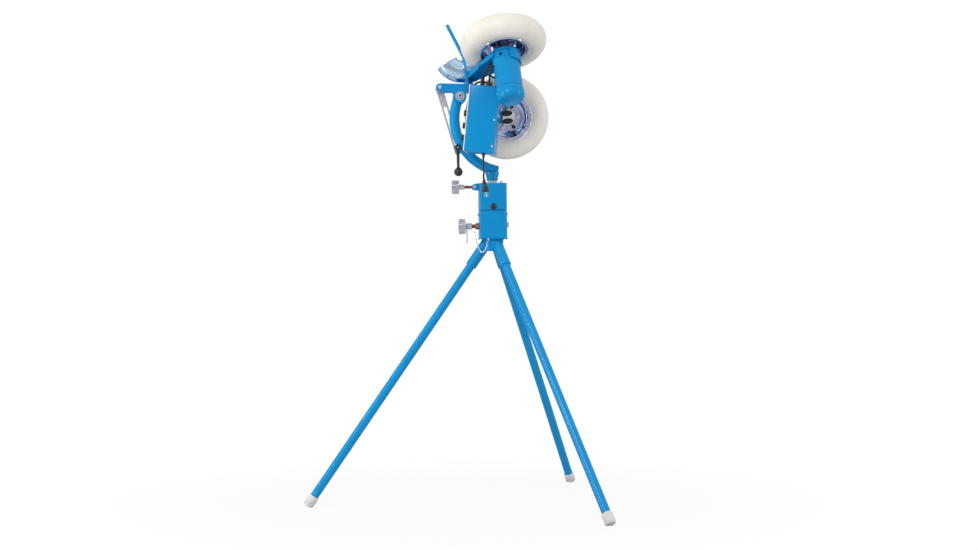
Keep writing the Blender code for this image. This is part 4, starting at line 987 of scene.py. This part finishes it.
def dial(name):
    """A ribbed knob with a skirt and a white pointer."""
    body = f"{name}_body"
    place = dial_place((CONTROL.inverted() @ Vector(JOINTS[body]["pos_m"])).z)
    low = PANEL_THICK + 2 * GAP
    profile = [(0.0, low + 0.0035), (0.0118, low + 0.0035), (0.0126, low + 0.0022), (0.0128, low), (0.0, low)]
    knob = Shape().lathe(place, profile)
    knob.prism(place, fluted(0.0112, 20, 8, 0.0006, 0.5), low + 0.003, low + 0.0158, 0.0006)
    knob.rod(place, 0.0030, -0.008, low + 0.001)
    knob.show(f"{name}_knob", body, "black_plastic", [name])
    pointer = Shape().box(place @ shift(y=0.0062, z=low + 0.0160), (0.0012, 0.0090, 0.0006), 0.0002, 1)
    pointer.show(f"{name}_pointer", body, "panel_white")
    if name == "power_dial":
        dial_marks(name, place, ("0", "1"), 90.0)
    else:
        dial_marks(name, place, [str(i) for i in range(11)], 300.0)


def control_box():
    """A folded steel box, its cover, its front panel, dials, lamp and screws."""
    size = CONTROL_SIZE
    case = Shape().box(CONTROL, size, 0.0045, 4)
    case.show("control_case", "head", "blue_paint", ["control_box"])
    cover = (size.x - 0.0130, size.y + 0.0010, size.z + 0.0006)
    cover = Shape().box(CONTROL @ shift(x=-0.0062), cover, 0.0040, 4)
    cover.show("control_cover", "head", "blue_paint")
    screws = Shape()
    head = [(0.0, 0.0018), (0.0020, 0.0016), (0.0036, 0.0004), (0.0036, -0.001), (0.0, -0.001)]
    for y in (-1.0, 1.0):
        for z in (-0.095, 0.0, 0.095):
            spot = CONTROL @ place_at((size.x / 2 - 0.0075, y * size.y / 2, z), (0.0, y, 0.0))
            screws.lathe(spot, head, 20)
    screws.show("control_case_screws", "head", "zinc")
    dress("panel_white", 0.0004, "control_panel")
    corners = Shape()
    front = dial_place(0.0)
    level = PANEL_THICK + GAP
    head = [(0.0, 0.0013), (0.0016, 0.0012), (0.0030, 0.0002), (0.0030, -0.001), (0.0, -0.001)]
    for x in (-0.047, 0.047):
        for y in (-0.113, 0.113):
            corners.lathe(front @ shift(x, y, level), head, 20)
    corners.show("panel_screws", "head", "zinc")
    lines = Shape()
    for y in (0.046, -0.003, -0.048):
        lines.box(front @ shift(y=y, z=level + 0.0001), (0.088, 0.0007, 0.0003))
    lines.show("panel_lines", "head", "ink")
    spot = front @ shift(y=0.078, z=level)
    dome = [(0.0, 0.0042), (0.0022, 0.0038), (0.0036, 0.0020), (0.0040, 0.0), (0.0, 0.0)]
    lamp = Shape().lathe(spot, dome, 28).ring(spot, 0.0056, 0.0041, 0.0, 0.0014)
    lamp.show("panel_lamp", "head", "black_plastic")
    for name in ("speed_dial_upper", "speed_dial_lower", "power_dial"):
        dial(name)


def gland(shape, place):
    """A ribbed strain relief; z runs out of the box."""
    profile = [(0.0, 0.0003), (0.0100, 0.0003), (0.0104, 0.0012), (0.0098, 0.0030)]
    for i in range(4):
        z = 0.0036 + 0.0034 * i
        rib, root = 0.0078 - 0.0008 * i, 0.0058 - 0.0004 * i
        profile += [(rib, z), (rib, z + 0.0020), (root, z + 0.0021), (root, z + 0.0033)]
    profile += [(0.0042, 0.0180), (0.0, 0.0180)]
    shape.lathe(place, profile, 28)


def cables():
    """The two motor cables and two thinner leads, each through its own gland."""
    top = CONTROL_SIZE.z / 2
    near, far = GLANDS
    upper = [CONTROL @ Vector((GLAND_ACROSS, near, top + h)) for h in (0.0, 0.014, 0.030)]
    ends = ((-0.063, -0.012, ARM_IN + 0.062), (-MOTOR_RADIUS - 0.0035, 0.0, ARM_IN + 0.040))
    upper += [UPPER @ Vector(p) for p in ends]
    lower = [CONTROL @ Vector((GLAND_ACROSS, far, top + h)) for h in (0.0, 0.010, 0.016)]
    route = ((-0.092, -0.038, -0.046), (-0.117, 0.0, -0.053), (-0.119, 0.042, -0.034))
    route += ((-0.119, 0.058, -0.003), (-0.118, 0.086, -0.014))
    lower += [HEAD @ Vector(p) for p in route]
    ends = ((-0.080, -0.050, ARM_IN + 0.060), (-MOTOR_RADIUS - 0.0040, 0.0, ARM_IN + 0.070))
    lower += [LOWER @ Vector(p) for p in ends]
    for key, x, y in (("third", 0.0400, 0.016), ("fourth", -0.0150, -0.018)):
        points = [CONTROL @ Vector((x, near, top + h)) for h in (0.0, 0.014, 0.028)]
        contact = (-MOTOR_RADIUS - 0.0030 + abs(y) * 0.15, y, ARM_IN + 0.030 + x * 0.6)
        points += [UPPER @ Vector(p) for p in ((-0.066, y * 1.2, ARM_IN + 0.050 + x), contact)]
        extra = Shape().sweep(smooth_path(points), 0.0040, 20)
        place = CONTROL @ shift(x, near, top)
        gland(extra, place)
        extra.rod(place, 0.0072, 0.014, 0.030, 0.0012, 24)
        extra.show(f"{key}_lead", "head", "black_plastic")
    for key, points, y in (("upper", upper, near), ("lower", lower, far)):
        line = Shape().sweep(smooth_path(points), 0.0036, 20)
        gland(line, CONTROL @ shift(GLAND_ACROSS, y, top))
        line.show(f"{key}_motor_lead", "head", "black_plastic", [f"motor_cable_{key}"])


def cord():
    """The mains cord: strain relief, lead, moulded plug and its blades."""
    start = Vector(JOINTS["cord"]["pos_m"])
    path = [start + Vector((0.0010 * math.sin(t * 1.3), 0.0, -0.0005 - 0.0062 * t)) for t in range(17)]
    line = Shape().sweep(path, 0.0035, 20)
    down = turned(Matrix.Translation(start), math.pi, "X")
    gland(line, down @ Matrix.Diagonal((0.8, 0.8, 1.0, 1.0)))
    plug = turned(turned(Matrix.Translation(path[-1]), math.radians(-8.0), "Y"), math.pi, "X")
    profile = [(0.0, -0.004), (0.0046, -0.004), (0.0052, 0.0), (0.0052, 0.004), (0.0060, 0.005)]
    profile += [(0.0060, 0.009), (0.0068, 0.010), (0.0068, 0.014), (0.0100, 0.021), (0.0118, 0.026)]
    profile += [(0.0122, 0.040), (0.0112, 0.042), (0.0, 0.042)]
    line.lathe(plug, profile, 32)
    line.show("mains_lead", "cord", "black_plastic", ["power_cord"])
    blades = Shape()
    for x in (-0.0062, 0.0062):
        blades.box(plug @ shift(x=x, z=0.0500), (0.0015, 0.0060, 0.0180), 0.0004, 2)
    blades.rod(plug @ shift(y=0.0070), 0.0023, 0.040, 0.0600, 0.0006, 20)
    blades.show("plug_blades", "cord", "zinc")


# ---------------------------------------------------------------- stage


def floor():
    """A plain pale floor that fades into the white background."""
    bpy.ops.mesh.primitive_circle_add(vertices=96, radius=14.0, fill_type="NGON")
    ground = bpy.context.object
    ground.name = "floor"
    material, tree, main = start_material("floor_paint")
    speckle = ramp(tree, noise_of(tree, 220.0, 4.0), 0.3, 0.7, 0.0, 1.0)
    colour = mix(tree, speckle, (0.62, 0.62, 0.62), (0.66, 0.66, 0.66))
    tree.links.new(colour, main.inputs["Base Color"])
    main.inputs["Roughness"].default_value = 0.6
    main.inputs["Specular IOR Level"].default_value = 0.2
    where = add(tree, "TexCoord").outputs["Object"]
    far = add(tree, "VectorMath", {0: where}, operation="LENGTH").outputs["Value"]
    fade = ramp(tree, far, 0.7, 2.0, 0.86, 1.0)
    seen = add(tree, "LightPath").outputs["Is Camera Ray"]
    fade = add(tree, "Math", {0: fade, 1: seen}, operation="MULTIPLY").outputs[0]
    glow = add(tree, "Emission", {"Color": (1.0, 1.0, 1.0, 1.0), "Strength": 1.02}).outputs[0]
    blend = add(tree, "MixShader", {0: fade, 1: main.outputs[0], 2: glow}).outputs[0]
    tree.links.new(blend, tree.nodes["Material Output"].inputs["Surface"])
    ground.data.materials.append(material)


def area_light(name, place, height, size, power):
    """A soft light that points at the swivel axis at a height."""
    light = bpy.data.lights.new(name, "AREA")
    light.shape = "RECTANGLE"
    light.size, light.size_y = size
    light.energy = power
    lamp = bpy.data.objects.new(name, light)
    lamp.location = place
    aim = Vector((AXIS.x, 0.0, height)) - Vector(place)
    lamp.rotation_euler = aim.to_track_quat("-Z", "Y").to_euler()
    link(lamp)


def studio():
    """White surroundings to the camera; reflections see a paler and a darker side."""
    world = bpy.data.worlds.new("studio")
    bpy.context.scene.world = world
    world.use_nodes = True
    tree = world.node_tree
    parts = add(tree, "SeparateXYZ", {0: add(tree, "TexCoord").outputs["Generated"]})
    height = ramp(tree, parts.outputs[2], -0.15, 0.75, 0.0, 1.0)
    shade = mix(tree, height, (0.42, 0.44, 0.48), (0.86, 0.86, 0.86))
    band = ramp(tree, parts.outputs[0], -0.9, 0.9, 0.80, 1.05)
    bands = add(tree, "VectorMath", {0: shade, "Scale": band}, operation="SCALE").outputs[0]
    seen = add(tree, "LightPath").outputs["Is Camera Ray"]
    colour = mix(tree, seen, bands, (1.02, 1.02, 1.02))
    tree.links.new(colour, tree.nodes["Background"].inputs["Color"])
    tree.nodes["Background"].inputs["Strength"].default_value = 1.0
    area_light("key", (AXIS.x - 2.0, -3.2, 3.4), 1.2, (1.6, 1.2), 58.0)
    area_light("left_strip", (AXIS.x - 2.7, -1.2, 1.3), 1.0, (0.18, 2.4), 26.0)
    area_light("right_strip", (AXIS.x + 2.8, -1.3, 1.3), 1.0, (0.14, 2.4), 20.0)


def camera():
    """An almost level view from the near side, through a long lens."""
    look = Vector(CAMERA_LOOK).normalized()
    right = look.cross(Vector((0.0, 0.0, 1.0))).normalized()
    up = right.cross(look)
    level = (right - up * CAMERA_LEAN).normalized()
    upright = (up + right * CAMERA_LEAN).normalized()
    lens = bpy.data.cameras.new("camera")
    lens.sensor_width = 36.0
    lens.lens = CAMERA_LENS
    lens.clip_end = 60.0
    eye = bpy.data.objects.new("camera", lens)
    aim = Matrix((level, upright, -look)).transposed().to_4x4()
    eye.matrix_world = Matrix.Translation(CAMERA_PLACE) @ aim
    link(eye)
    bpy.context.scene.camera = eye


legs()
base_details()
locks()
pin_and_chain()
yoke()
clamp_lever()
head_metal()
chute()
handle()
for key, place in (("upper", UPPER), ("lower", LOWER)):
    wheel(key, place)
    motor(key, place)
control_box()
cables()
cord()
floor()
studio()
camera()
bpy.context.scene.view_settings.view_transform = "Standard"
bpy.context.view_layer.update()
